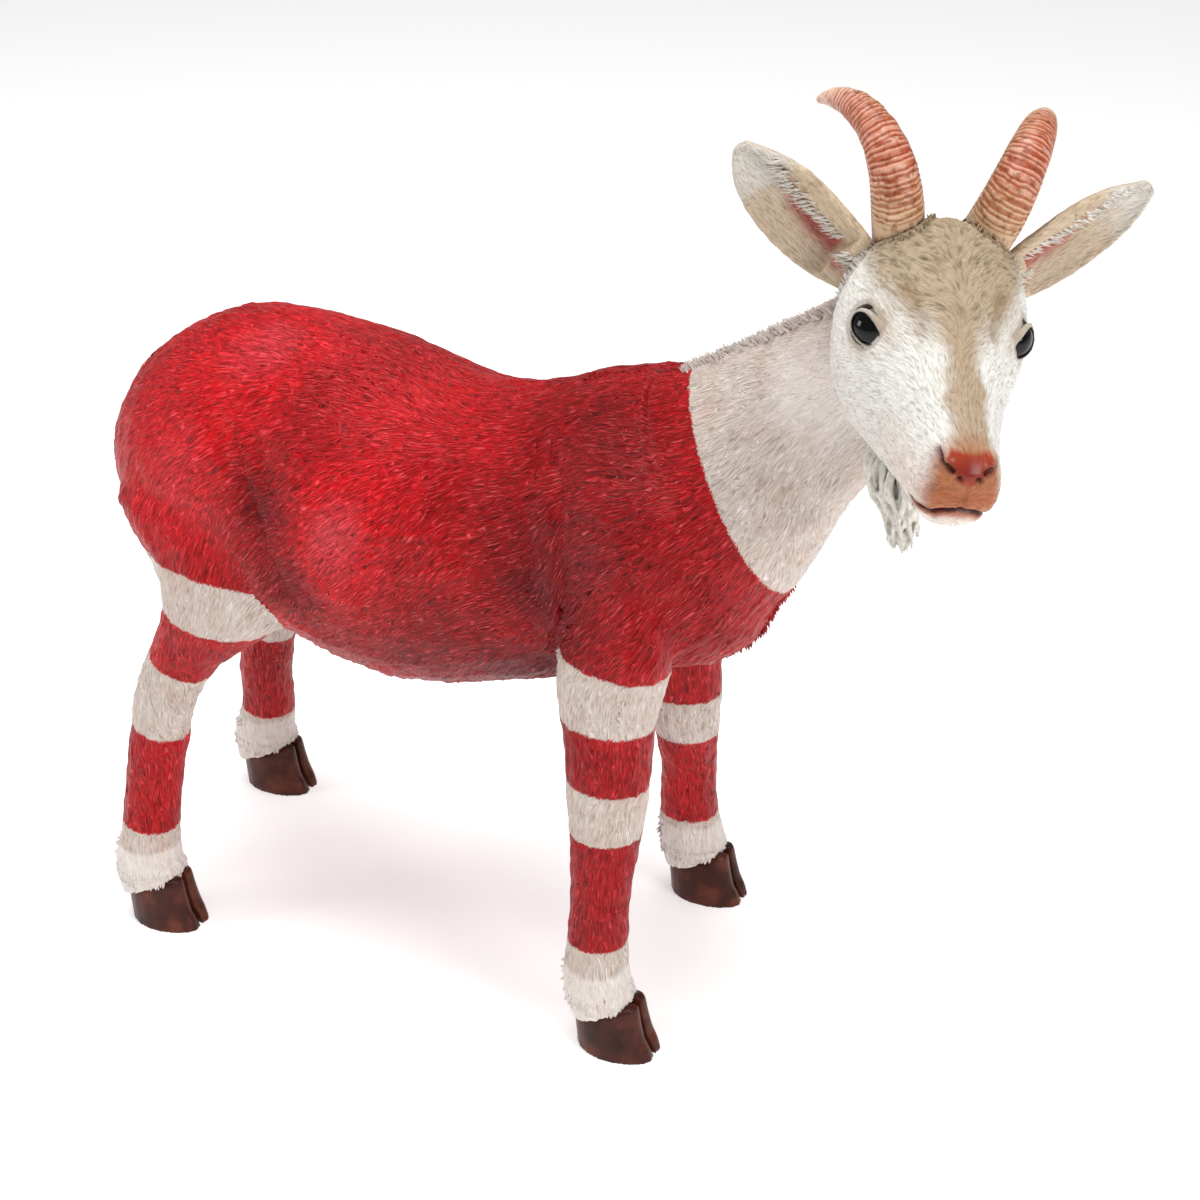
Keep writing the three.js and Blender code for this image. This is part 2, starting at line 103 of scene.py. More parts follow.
bpy.ops.mesh.primitive_plane_add(size=12, location=(0, 0, 0))
floor = bpy.context.object
floor.name = "studio_floor"
floor_paint, tree, surface = fresh_material("matt_white_floor")
surface.inputs["Base Color"].default_value = shade_of("#F4F3F2")
surface.inputs["Roughness"].default_value = 0.9
surface.inputs["Emission Color"].default_value = shade_of("#FFFFFF")
surface.inputs["Emission Strength"].default_value = 0.42
floor.data.materials.append(floor_paint)

for name, place, size, power in (
    ("overhead", (-0.2, -0.2, 3.6), 2.2, 100),
    ("left_side", (-2.4, -1.5, 1.3), 1.0, 22),
    ("right_side", (2.4, -0.9, 1.3), 1.0, 30),
):
    lamp = bpy.data.lights.new(name, "AREA")
    lamp.size = size
    lamp.energy = power
    holder = bpy.data.objects.new(name, lamp)
    holder.location = place
    holder.rotation_euler = (Vector(place) - LAMPS_LOOK_AT).to_track_quat("Z", "Y").to_euler()
    bpy.context.scene.collection.objects.link(holder)

room = bpy.data.worlds.new("bright_room")
room.use_nodes = True
walls = room.node_tree.nodes["Background"]
walls.inputs["Color"].default_value = shade_of("#FFFFFF")
walls.inputs["Strength"].default_value = 0.31
bpy.context.scene.world = room
bpy.context.scene.view_settings.view_transform = "Standard"

# ---- Coat: torso, neck, legs and tail, one painted skin of carved hair ----
# The castings are glued, their joints are filled and sanded away, and short hair is carved over
# all of them. Each casting is built as its own closed piece, with one skin running across.

COAT_NODES = (
    "torso_shell_right",
    "torso_shell_left",
    "neck_shell",
    "head_shell",
    "front_right_leg",
    "front_left_leg",
    "hind_right_leg",
    "hind_left_leg",
    "tail",
)
SKIN_GRAIN = 0.0018
MIDDLE_Y = (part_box("torso_shell_right")[1].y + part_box("torso_shell_left")[0].y) / 2
JOINT_AT = np.array((0.1383, MIDDLE_Y, 0.4656))
JOINT_FACING = np.array((0.9, 0.0, 0.437))


def clay(name, nodes, extra=()):
    """One loose mesh of copies of these solids, and of any clay added to them."""
    lump = bmesh.new()
    for node in nodes:
        lump.from_mesh(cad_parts[node].data)
    bmesh.ops.remove_doubles(lump, verts=lump.verts, dist=1e-6)
    for mesh in extra:
        lump.from_mesh(mesh)
    mesh = bpy.data.meshes.new(name)
    lump.to_mesh(mesh)
    lump.free()
    piece = bpy.data.objects.new(name, mesh)
    bpy.context.scene.collection.objects.link(piece)
    return piece


def only(piece):
    """Makes this the one selected and active object."""
    bpy.ops.object.select_all(action="DESELECT")
    piece.select_set(True)
    bpy.context.view_layer.objects.active = piece


def skin_over(piece, grain, growth=0.0004):
    """The outermost skin of a lump of clay, in even squares: its points and its faces. It grows
    first, so that the glue gaps between its solids close."""
    only(piece)
    grow = piece.modifiers.new("grow", "DISPLACE")
    grow.strength, grow.mid_level = max(growth, 1e-6), 0.0
    fill = piece.modifiers.new("fill", "REMESH")
    fill.mode, fill.voxel_size = "VOXEL", grain
    for step in ("grow", "fill"):
        bpy.ops.object.modifier_apply(modifier=step)
    bpy.ops.mesh.separate(type="LOOSE")
    parts = list(bpy.context.selected_objects)
    skin = max(parts, key=lambda part: max(part.dimensions) * 1e6 + len(part.data.vertices))
    points = np.empty(len(skin.data.vertices) * 3)
    skin.data.vertices.foreach_get("co", points)
    corners = np.empty(len(skin.data.loops), int)
    skin.data.loops.foreach_get("vertex_index", corners)
    for part in parts:
        bpy.data.objects.remove(part)
    return points.reshape(-1, 3), corners.reshape(-1, 4)


def edge_pairs(faces, diagonals=False):
    """Each pair of points that share a side of a square, and its diagonals if asked, both ways."""
    rings = [faces, np.roll(faces, -1, 1)]
    pairs = np.stack([rings[0].ravel(), rings[1].ravel()], 1)
    if diagonals:
        across = np.concatenate([faces[:, [0, 2]], faces[:, [1, 3]]])
        pairs = np.concatenate([pairs, across])
    return np.unique(np.concatenate([pairs, pairs[:, ::-1]]), axis=0)


def spread(values, pairs, times, weight=1.0):
    """Evens values out along the edges, this many times."""
    count = np.bincount(pairs[:, 0], minlength=len(values))
    for _ in range(times):
        mean = np.empty_like(values)
        for k in range(values.shape[1]):
            mean[:, k] = np.bincount(pairs[:, 0], values[pairs[:, 1], k], len(values)) / count
        values = values + (mean - values) * weight
    return values


def soft_skin(piece, grain, growth, times):
    """The skin over a lump of clay, evened out: its points, its faces and its edges."""
    points, faces = skin_over(piece, grain, growth)
    pairs = edge_pairs(faces)
    return spread(points, pairs, times, 0.5), faces, pairs


def normals_of(points, faces):
    """A smooth normal at each point."""
    a, b, c, d = (points[faces[:, k]] for k in range(4))
    flat = np.cross(c - a, d - b)
    total = np.empty_like(points)
    for k in range(3):
        total[:, k] = np.bincount(faces.ravel(), np.repeat(flat[:, k], 4), len(points))
    return total / np.maximum(np.linalg.norm(total, axis=1, keepdims=True), 1e-12)


def pressed(points, normals, line, width, depth):
    """The points, raised or sunk along a line, most at the line and softly out to about its width."""
    reach = soft_spot(away_from(points, line), width)
    return points + normals * (depth * reach)[:, None]


def cloud(points, size, seed):
    """Smooth noise between -1 and 1, about this many metres across."""
    spots = points / size + seed * 17.31
    low = np.floor(spots).astype(int)
    part = spots - low
    part = part * part * (3 - 2 * part)
    total = np.zeros(len(points))
    for corner in range(8):
        step = np.array([corner & 1, corner >> 1 & 1, corner >> 2 & 1])
        cell = low + step
        mixed = (cell * np.array((73856093, 19349663, 83492791))).T
        mixed = mixed[0] ^ mixed[1] ^ mixed[2] ^ (seed * 2654435)
        mixed = (mixed ^ (mixed >> 13)) * 1274126177 & 0x7FFFFFFF
        share = np.prod(np.where(step == 1, part, 1 - part), axis=1)
        total += share * ((mixed % 10007) / 5003.5 - 1)
    return total


def ramp(values, start, end):
    """0 before start, 1 after end, and a soft rise between them."""
    part = np.clip((values - start) / (end - start), 0, 1)
    return part * part * (3 - 2 * part)


def soft_spot(gap, width):
    """1 where there is no gap, falling away like a bell that is about this wide."""
    return np.exp(-((gap / width) ** 2))


def away_from(points, line):
    """How far each point is from a line of points, in metres."""
    nearest = np.full(len(points), 9.0)
    for start, end in zip(line[:-1], line[1:]):
        run = end - start
        along = np.clip((points - start) @ run / (run @ run), 0, 1)
        nearest = np.minimum(nearest, np.linalg.norm(points - start - along[:, None] * run, axis=1))
    return nearest


def unit(vectors):
    """The same vectors, one long."""
    return vectors / np.maximum(np.linalg.norm(vectors, axis=-1, keepdims=True), 1e-12)


def combed(way, normals, turn):
    """The lay of the hair: a way laid flat on the skin, and turned there by an angle."""
    lay = unit(way - normals * (way * normals).sum(1)[:, None])
    return lay * np.cos(turn)[:, None] + np.cross(normals, lay) * np.sin(turn)[:, None]


def comb(points, faces, lay, seed, times):
    """Random heights drawn out along the lay of the hair, so that they stand in strands."""
    pairs = edge_pairs(faces, diagonals=True)
    step = unit(points[pairs[:, 1]] - points[pairs[:, 0]])
    pull = np.abs((step * lay[pairs[:, 0]]).sum(1)) ** 10 + 1e-6
    whole = np.bincount(pairs[:, 0], pull, len(points))
    pull /= whole[pairs[:, 0]]
    heights = np.random.default_rng(seed).standard_normal(len(points))
    for _ in range(times):
        drawn = np.bincount(pairs[:, 0], pull * heights[pairs[:, 1]], len(points))
        heights = 0.35 * heights + 0.65 * drawn
    return (heights - heights.mean()) / heights.std()


coat_clay = clay("coat_clay", COAT_NODES)
points, faces = skin_over(coat_clay, SKIN_GRAIN)

owner = []
corner_list, triangle_list, shift = [], [], 0
for index, node in enumerate(COAT_NODES):
    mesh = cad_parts[node].data
    corner_list += [v.co for v in mesh.vertices]
    triangle_list += [[shift + v for v in polygon.vertices] for polygon in mesh.polygons]
    owner += [index] * len(mesh.polygons)
    shift += len(mesh.vertices)
nearest_solid = BVHTree.FromPolygons(corner_list, triangle_list)
owner = np.array(owner)
found = np.array([owner[nearest_solid.find_nearest(p)[2]] for p in points.tolist()])
share = np.eye(len(COAT_NODES))[found]
pairs = edge_pairs(faces)
share = spread(share, pairs, 14)
mixed = spread(1 - share.max(1, keepdims=True), pairs, 20)
points = spread(points, pairs, 5, 0.5)
filled = ramp(mixed, 0.008, 0.10)
points = spread(points, pairs, 46, 0.6 * filled)
normals = normals_of(points, faces)


def mirrored(line):
    """The same line on the goat's other side."""
    return line * np.array((1, -1, 1)) + np.array((0, 2 * MIDDLE_Y, 0))


FLANK_FOLD = np.array(
    ((-248, -80, 480), (-224, -98, 448), (-208, -110, 413), (-195, -114, 378), (-182, -112, 351))
) / 1000
THIGH_EDGE = np.array(((-262, -84, 468), (-238, -104, 420), (-220, -110, 380), (-206, -108, 346))) / 1000
ELBOW_CREASE = np.array(
    ((26, -72, 478), (33, -90, 440), (40, -95, 395), (40, -88, 360), (36, -76, 330))
) / 1000
SHOULDER_EDGE = np.array(((60, -70, 500), (90, -88, 450), (104, -92, 400), (100, -92, 350))) / 1000
for side_of in (lambda line: line, mirrored):
    for line, width, depth in (
        (FLANK_FOLD, 0.026, -0.0060),
        (FLANK_FOLD, 0.008, -0.0018),
        (THIGH_EDGE, 0.026, 0.0060),
        (ELBOW_CREASE, 0.024, -0.0052),
        (ELBOW_CREASE, 0.007, -0.0014),
        (SHOULDER_EDGE, 0.028, 0.0045),
    ):
        points = pressed(points, normals, side_of(line), width, depth)
normals = normals_of(points, faces)
front_legs = [COAT_NODES.index(leg) for leg in ("front_right_leg", "front_left_leg")]
in_front_legs = share[:, front_legs].sum(1)
shin = in_front_legs * soft_spot(points[:, 2] - 0.225, 0.055)
points = points + normals * (0.0024 * shin)[:, None]
forearm = in_front_legs * soft_spot(points[:, 2] - 0.325, 0.042) * np.abs(normals[:, 0])
points = points + normals * (0.0062 * forearm)[:, None]
swell = cloud(points, 0.060, 3) * 0.6 + cloud(points, 0.028, 4) * 0.4
points = points + normals * (0.0010 * swell)[:, None]

# the lay of the hair: back along the spine, down the flanks and legs, and down the neck
from_joint = (points - JOINT_AT) @ unit(JOINT_FACING)
on_neck = ramp(from_joint, -0.03, 0.05)[:, None]
on_leg = ramp(-points[:, 2], -0.36, -0.25)[:, None]
on_side = np.abs(normals[:, 1:2])
at_shoulder = (ramp(points[:, 0], -0.02, 0.06) * ramp(-points[:, 2], -0.50, -0.40))[:, None]
at_thigh = (ramp(-points[:, 0], 0.20, 0.27) * ramp(-points[:, 2], -0.46, -0.36))[:, None]
lay = np.array((-1.0, 0.0, 0.0)) + on_side * np.array((0.0, 0.0, -0.75))
lay = lay * (1 - at_shoulder) + at_shoulder * np.array((-0.55, 0.0, -0.85))
lay = lay * (1 - at_thigh) + at_thigh * np.array((-0.25, 0.0, -1.0))
lay = lay * (1 - on_leg) + on_leg * np.array((0.05, 0.0, -1.0))
lay = lay * (1 - on_neck) + on_neck * np.array((-0.62, 0.22, -0.75))
turn = 0.42 * cloud(points, 0.075, 7) + 0.22 * cloud(points, 0.022, 8)
lay = combed(lay, normals, turn)
strands = comb(points, faces, lay, 11, 9)
points = points + normals * (0.00042 * np.clip(strands, -2.2, 2.2))[:, None]
normals = normals_of(points, faces)

# the paint's edges: how far each point is inside the red, below 0 where it is white
LEG_EDGES = {
    "front_right_leg": ((334, -0.14), (282, -0.03), (232, -0.03), (189, 0.0), (97, 0.0)),
    "front_left_leg": ((322, -0.10), (268, 0.0), (216, 0.0), (172, 0.0), (84, 0.0)),
    "hind_right_leg": ((348, -0.09), (298, -0.12), (237, -0.45), (176, -0.2), (91, -0.1)),
    "hind_left_leg": ((336, -0.09), (286, -0.12), (226, -0.45), (165, -0.2), (76, -0.1)),
}
side_bow = np.clip(np.abs(points[:, 1] - MIDDLE_Y) / 0.075, 0, 1)
red = 0.008 + 0.012 * side_bow - from_joint
for leg, edges in LEG_EDGES.items():
    low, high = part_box(leg)
    rises = [height / 1000 + lean * (points[:, 0] - (low.x + high.x) / 2) for height, lean in edges]
    beyond = points[:, 2] - np.array(rises)
    inside = np.abs(beyond).min(0) * np.where((beyond < 0).sum(0) % 2 == 0, 1, -1)
    red = np.where(share[:, COAT_NODES.index(leg)] > 0.3, np.minimum(inside, 0.05), red)


# painted light, above 0, and painted shade, below 0, laid on the coat in dabs: the middle of
# each dab ahead, out to the side and up, then its radius, in millimetres, and how much. The last
# one and the cuffs are white, and are painted palest.
PAINTED_LIGHT_DABS = (
    (-245, 30, 525, 62, 0.34),
    (-138, 130, 410, 62, 0.36),
    (-100, 20, 500, 60, 0.14),
    (-300, 110, 420, 85, 0.26),
    (80, 90, 450, 85, -0.20),
    (-50, 80, 300, 100, -0.20),
    (36, 110, 390, 34, -0.28),
    (-232, 110, 455, 26, -0.20),
    (-208, 118, 418, 28, -0.42),
    (-190, 120, 362, 30, -0.42),
    (15, 90, 300, 45, -0.25),
    (220, 60, 565, 75, 0.55),
)
beside = points - np.array((0, MIDDLE_Y, 0))
beside[:, 1] = np.abs(beside[:, 1])
# a random tone, a little lighter on the legs
rubbed_by = 0.5 + 0.10 * cloud(points, 0.05, 61) + 0.05 * ramp(-points[:, 2], -0.33, -0.27)
# dabs of painted highlight on the rump, back, flank and thigh, painted shade on the shoulder, belly, elbow
# and flank fold, and painted light on the white neck
for x, y, z, radius, amount in PAINTED_LIGHT_DABS:
    gap = np.linalg.norm(beside - np.array((x, y, z)) / 1000, axis=1)
    rubbed_by = rubbed_by + amount * soft_spot(gap, radius / 1000)
# the white cuffs lifted to the palest white
rubbed_by = rubbed_by + 0.5 * ramp(-points[:, 2], -0.085, -0.070)


def as_part(points, normals, faces, **worn):
    """One closed skin as a part, with the values that its paint reads."""
    return {"points": points, "normals": normals, "faces": [faces], **worn}


def build(name, parts, attributes_of):
    """One mesh object from (points, faces, normals, values) parts, with its values as attributes."""
    corner_sets, face_sets, start = [], [], 0
    for part in parts:
        corner_sets.append(part["points"])
        for group in part["faces"]:
            face_sets += (np.asarray(group) + start).tolist()
        start += len(part["points"])
    mesh = bpy.data.meshes.new(name)
    mesh.from_pydata(np.concatenate(corner_sets).tolist(), [], face_sets)
    mesh.polygons.foreach_set("use_smooth", np.ones(len(mesh.polygons), bool))
    for value in attributes_of:
        block = np.concatenate([part[value] for part in parts])
        kind = "FLOAT_VECTOR" if block.ndim == 2 else "FLOAT"
        layer = mesh.attributes.new(value, kind, "POINT")
        layer.data.foreach_set("vector" if block.ndim == 2 else "value", block.astype(np.float32).ravel())
    mesh.update()
    facings = np.concatenate([part["normals"] for part in parts])
    mesh.normals_split_custom_set_from_vertices(facings.tolist())
    piece = bpy.data.objects.new(name, mesh)
    bpy.context.scene.collection.objects.link(piece)
    return piece


def cut_out(chosen, points, faces, normals, values):
    """The chosen faces as a part of its own, with its open rims capped."""
    kept = faces[chosen]
    used, index = np.unique(kept, return_inverse=True)
    kept = index.reshape(-1, 4)
    part = {"points": points[used], "normals": normals[used]}
    for name, block in values.items():
        part[name] = block[used]
    starts, ends = kept.ravel(), np.roll(kept, -1, 1).ravel()
    forward = starts.astype(np.int64) * len(used) + ends
    backward = ends.astype(np.int64) * len(used) + starts
    open_side = ~np.isin(forward, backward)
    following = {}
    for a, b in zip(starts[open_side].tolist(), ends[open_side].tolist()):
        following.setdefault(a, []).append(b)
    caps, added = [], []
    while following:
        first = next(iter(following))
        rim, here = [first], first
        while True:
            there = following[here].pop()
            if not following[here]:
                del following[here]
            if there == first or there not in following:
                break
            rim.append(there)
            here = there
        if len(rim) < 3:
            continue
        centre = len(used) + len(added)
        added.append(part["points"][rim].mean(0))
        caps += [(b, a, centre) for a, b in zip(rim, rim[1:] + rim[:1])]
    if added:
        added = np.array(added)
        part["points"] = np.concatenate([part["points"], added])
        part["normals"] = np.concatenate([part["normals"], np.tile((0.0, 0.0, 1.0), (len(added), 1))])
        for name, block in values.items():
            part[name] = np.concatenate([part[name], np.repeat(block[:1] * 0, len(added), 0)])
    part["faces"] = [kept, np.array(caps, int).reshape(-1, 3)]
    return part


def carved_hair(tree, strand, length, tuft):
    """Fine strands in tufts that follow the lay: a height from 0 to 1. Sizes are in metres. Two
    sets of tufts are laid over each other, and each point takes the set whose tuft is nearer."""
    place = add_node(tree, "TexCoord").outputs["Object"]
    lay_of = add_node(tree, "Attribute", attribute_name="lay").outputs["Vector"]
    facing = add_node(tree, "NewGeometry").outputs["Normal"]
    across = add_node(tree, "VectorMath", {0: facing, 1: lay_of}, operation="CROSS_PRODUCT").outputs[0]
    heights, nears = [], []
    for offset in (0.0, 0.371):
        moved = add_node(tree, "VectorMath", {0: place, 1: (offset,) * 3}, operation="ADD").outputs[0]
        cell = add_node(tree, "TexVoronoi", {"Vector": moved, "Scale": 1 / tuft})
        local = add_node(
            tree, "VectorMath", {0: moved, 1: cell.outputs["Position"]}, operation="SUBTRACT"
        ).outputs[0]
        run = add_node(tree, "VectorMath", {0: local, 1: lay_of}, operation="DOT_PRODUCT").outputs["Value"]
        side = add_node(tree, "VectorMath", {0: local, 1: across}, operation="DOT_PRODUCT").outputs["Value"]
        run = add_node(tree, "Math", {0: run, 1: 1 / length}, operation="MULTIPLY").outputs[0]
        side = add_node(tree, "Math", {0: side, 1: 1 / strand}, operation="MULTIPLY").outputs[0]
        chance = add_node(tree, "SeparateXYZ", {0: cell.outputs["Color"]}).outputs[0]
        apart = add_node(tree, "Math", {0: chance, 1: 90.0}, operation="MULTIPLY").outputs[0]
        spot = add_node(tree, "CombineXYZ", {0: run, 1: side, 2: apart}).outputs[0]
        hair = add_node(tree, "TexNoise", {"Vector": spot, "Scale": 1.0, "Detail": 1.0, "Roughness": 0.6})
        heights.append(hair.outputs["Fac"])
        nears.append(cell.outputs["Distance"])
    gap = add_node(tree, "Math", {0: nears[0], 1: nears[1]}, operation="SUBTRACT").outputs[0]
    choice = add_node(
        tree, "MapRange", {"Value": gap, "From Min": -0.12, "From Max": 0.12}
    ).outputs[0]
    return add_node(
        tree, "Mix", {0: choice, 2: heights[0], 3: heights[1]}, data_type="FLOAT"
    ).outputs[0]


def colours_along(tree, value, stops):
    """A colour ramp through (place, sRGB code) stops."""
    band = add_node(tree, "ValToRGB", {0: value})
    band.color_ramp.elements.remove(band.color_ramp.elements[1])
    for k, (where, code) in enumerate(stops):
        stop = band.color_ramp.elements[0] if k == 0 else band.color_ramp.elements.new(where)
        stop.position, stop.color = where, shade_of(code)
    return band.outputs[0]


def blend_colours(tree, factor, first, second, way="MIX"):
    return add_node(
        tree, "Mix", {0: factor, 6: first, 7: second}, data_type="RGBA", blend_type=way
    ).outputs[2]


# Two-colour satin enamel over carved hair, with painted shade in the hair's valleys, painted
# glints on its crests, and painted light and shade over the body. Real strands are under half a
# millimetre apart, and are drawn 1 mm apart so that they show.
coat_paint, tree, surface = fresh_material("satin_enamel_on_resin")
hair = carved_hair(tree, strand=0.0010, length=0.010, tuft=0.018)
place = add_node(tree, "TexCoord").outputs["Object"]
patches = add_node(tree, "TexNoise", {"Vector": place, "Scale": 14.0, "Detail": 3.0}).outputs["Fac"]
blots = add_node(tree, "TexNoise", {"Vector": place, "Scale": 42.0, "Detail": 2.0}).outputs["Fac"]
# the painted light and shade of each point, with a random tone
rubbed = add_node(tree, "Attribute", attribute_name="rubbed").outputs["Fac"]
drift = add_node(
    tree, "MapRange",
    {"Value": patches, "From Min": 0.3, "From Max": 0.7, "To Min": -0.10, "To Max": 0.10},
)
rubbed = add_node(tree, "Math", {0: rubbed, 1: drift.outputs[0]}, operation="ADD").outputs[0]
# the red, lit and shaded: dark in the painted shade, pinkish at the painted highlights
red_lit_and_shaded = colours_along(
    tree, rubbed,
    ((0.0, "#60040A"), (0.3, "#97070E"), (0.5, "#B80912"), (0.75, "#E0121B"), (1.0, "#DF434D")),
)
# painted shade: the red darkens in the hair's valleys
red_valley_shade = colours_along(tree, hair, ((0.30, "#888181"), (0.48, "#D3CECE"), (0.62, "#FFFFFF")))
red_paint = blend_colours(tree, 1.0, red_lit_and_shaded, red_valley_shade, "MULTIPLY")
# painted glints: pink flecks on the hair's crests
crest_glints = add_node(
    tree, "MapRange", {"Value": hair, "From Min": 0.60, "From Max": 0.76, "To Max": 0.40}
).outputs[0]
red_paint = blend_colours(tree, crest_glints, red_paint, shade_of("#EE7C84"))
# the white, with painted shade in the hair's valleys
white_paint = colours_along(
    tree, hair, ((0.25, "#AA9C92"), (0.42, "#C8BCB3"), (0.6, "#DACFC7"), (0.8, "#FBF6F2"))
)
cream = colours_along(tree, blots, ((0.35, "#F4F0EE"), (0.55, "#EEE2DB"), (0.72, "#E6CCC2")))
white_paint = blend_colours(tree, 0.6, white_paint, cream, "MULTIPLY")
# painted light on the white where the value is highest: the neck, the cuffs and the white locks
white_painted_light = add_node(
    tree, "MapRange", {"Value": rubbed, "From Min": 0.8, "From Max": 1.0, "To Max": 0.5}
).outputs[0]
white_paint = blend_colours(tree, white_painted_light, white_paint, shade_of("#F5EFEB"))
edge = add_node(tree, "Attribute", attribute_name="red").outputs["Fac"]
ragged = add_node(tree, "Math", {0: hair, 1: 0.5}, operation="SUBTRACT").outputs[0]
ragged = add_node(tree, "Math", {0: ragged, 1: 0.007}, operation="MULTIPLY").outputs[0]
edge = add_node(tree, "Math", {0: edge, 1: ragged}, operation="ADD").outputs[0]
is_red = add_node(tree, "MapRange", {"Value": edge, "From Min": -0.0004, "From Max": 0.0004}).outputs[0]
tree.links.new(blend_colours(tree, is_red, white_paint, red_paint), surface.inputs["Base Color"])
lift = add_node(tree, "Bump", {"Height": hair, "Distance": 0.0021, "Strength": 0.9})
tree.links.new(lift.outputs[0], surface.inputs["Normal"])
surface.inputs["Roughness"].default_value = 0.36
surface.inputs["Specular IOR Level"].default_value = 0.2

values = {"lay": lay, "red": red, "rubbed": rubbed_by}
face_owner = share[faces].sum(1).argmax(1)
coat_tree = BVHTree.FromPolygons(points.tolist(), faces.tolist())
chance = np.random.default_rng(5)


def locks(roots, tips, bends, widths, rings=4, sides=5, **worn):
    """Tapered locks of hair from roots to tips, bowed by bends. Their values come from worn."""
    steps = np.linspace(0, 1, rings + 1)
    around = np.arange(sides) * math.tau / sides
    spots, facings, lays, quads, threes = [], [], [], [], []
    for root, tip, bend, width in zip(roots, tips, bends, widths):
        run = unit(tip - root)
        over = unit(np.cross(run, (0.37, 0.61, 0.70)))
        beside = np.cross(run, over)
        start = len(spots)
        for k, step in enumerate(steps[:-1]):
            girth = width * (1 - step) ** 0.6 * (0.8 + 0.4 * math.sin(math.pi * min(step * 1.6, 1)))
            at = root + (tip - root) * step + bend * 4 * step * (1 - step)
            for turn in around:
                out = over * math.cos(turn) + beside * math.sin(turn)
                spots.append(at + girth * out)
                facings.append(out)
                lays.append(run)
        spots.append(tip)
        facings.append(run)
        lays.append(run)
        for k in range(rings - 1):
            a = start + k * sides
            for j in range(sides):
                after = (j + 1) % sides
                quads.append((a + j, a + after, a + sides + after, a + sides + j))
        a = start + (rings - 1) * sides
        threes += [(a + j, a + (j + 1) % sides, start + rings * sides) for j in range(sides)]
        threes += [(start, start + j + 1, start + j) for j in range(1, sides - 1)]
    part = {"points": np.array(spots), "normals": unit(np.array(facings)), "lay": np.array(lays)}
    part["faces"] = [np.array(quads), np.array(threes)]
    each = rings * sides + 1
    for name, block in worn.items():
        part[name] = np.repeat(np.asarray(block, float), each, axis=0)
    return part


def ridge_on(tree, line, way, count):
    """Places along a line of points, moved on to the skin the given way, with its normals there."""
    ticks = np.sort(chance.uniform(0, len(line) - 1, count))
    dense = np.stack([np.interp(ticks, np.arange(len(line)), line[:, k]) for k in range(3)], 1)
    hits = [tree.ray_cast(Vector(p), Vector(way)) for p in dense]
    hits = [hit for hit in hits if hit[0] is not None]
    return np.array([hit[0] for hit in hits]), np.array([hit[1] for hit in hits])


LOCK_SUNK = 0.003


def crest(tree, line, way, count, size, lean, spread_by, width):
    """A comb of short locks that stand along a ridge, leaning one way."""
    at, facing = ridge_on(tree, line, way, count)
    stand = unit(facing + np.array(lean) + chance.normal(0, 0.22, at.shape))
    at = at + chance.normal(0, 1, at.shape) * np.array(spread_by)
    length = chance.uniform(size[0], size[1], len(at))[:, None]
    root = at - facing * LOCK_SUNK
    tip = root + stand * (length + LOCK_SUNK)
    return root, tip, facing * length * 0.06, chance.uniform(0.7, 1.3, len(at)) * width


def ring_of(tree, centre, height, reach, count):
    """Places round a leg at this height, found from outside it, with the normals there."""
    at, facing = [], []
    for turn in np.sort(chance.uniform(0, math.tau, count)):
        out = Vector((math.cos(turn), math.sin(turn), 0))
        hit = tree.ray_cast(Vector((centre[0], centre[1], height)) + out * reach, -out, reach)
        if hit[0] is not None:
            at.append(hit[0])
            facing.append(hit[1])
    return np.array(at), np.array(facing)


# the lines that the locks follow, held clear of the skin and dropped on to it by crest
MANE_LINE = np.array(
    ((0.098, MIDDLE_Y, 0.9), (0.150, MIDDLE_Y - 0.004, 0.9), (0.200, -0.002, 0.9), (0.262, -0.026, 0.9))
)
WITHERS_LINE = np.array(((0.020, MIDDLE_Y, 0.9), (0.100, MIDDLE_Y, 0.9)))
BELLY_LINE = np.array(((-0.205, MIDDLE_Y, 0.0), (-0.05, MIDDLE_Y, 0.0), (0.075, MIDDLE_Y, 0.0)))
CHEST_LINE = np.array(((0.40, MIDDLE_Y, 0.385), (0.40, MIDDLE_Y, 0.34), (0.40, MIDDLE_Y, 0.29)))
TAIL_LINE = np.array(((-0.60, MIDDLE_Y - 0.006, 0.37), (-0.60, MIDDLE_Y, 0.44)))
thin = 1.0
trims = {node: [] for node in COAT_NODES}


def trim(node, strip, is_red):
    """Adds a strip of locks to one casting, in the paint of the skin that they stand on. White
    locks get painted light, the palest white."""
    # white locks get painted light, red locks a middle value
    red_by, rubbed_to = (0.02, 0.5) if is_red else (-0.02, 1.0)
    count = len(strip[0])
    trims[node].append(locks(*strip, red=np.full(count, red_by), rubbed=np.full(count, rubbed_to)))


trim("neck_shell", crest(coat_tree, MANE_LINE, (0, 0, -1), int(900 * thin), (0.0025, 0.0065),
                         (-0.55, 0.05, 0.15), (0, 0.0055, 0), 0.0010), False)
for half in ("right", "left"):
    node = "torso_shell_" + half
    offset = np.array((0, -0.003 if half == "right" else 0.003, 0))
    trim(node, crest(coat_tree, WITHERS_LINE + offset, (0, 0, -1), int(70 * thin), (0.003, 0.006),
                     (-2.6, 0, 0.0), (0, 0.0025, 0), 0.0011), True)
    trim(node, crest(coat_tree, BELLY_LINE + offset, (0, 0, 1), int(330 * thin), (0.003, 0.007),
                     (-1.5, 0, -0.2), (0, 0.0022, 0), 0.0011), True)
    trim(node, crest(coat_tree, CHEST_LINE + offset, (-1, 0, 0), int(110 * thin), (0.003, 0.006),
                     (0.1, 0, -1.8), (0, 0.0022, 0), 0.0011), True)
trim("tail", crest(coat_tree, TAIL_LINE, (1, 0, 0), int(60 * thin), (0.006, 0.012),
                   (-0.1, 0, -1.4), (0, 0.006, 0), 0.0017), True)
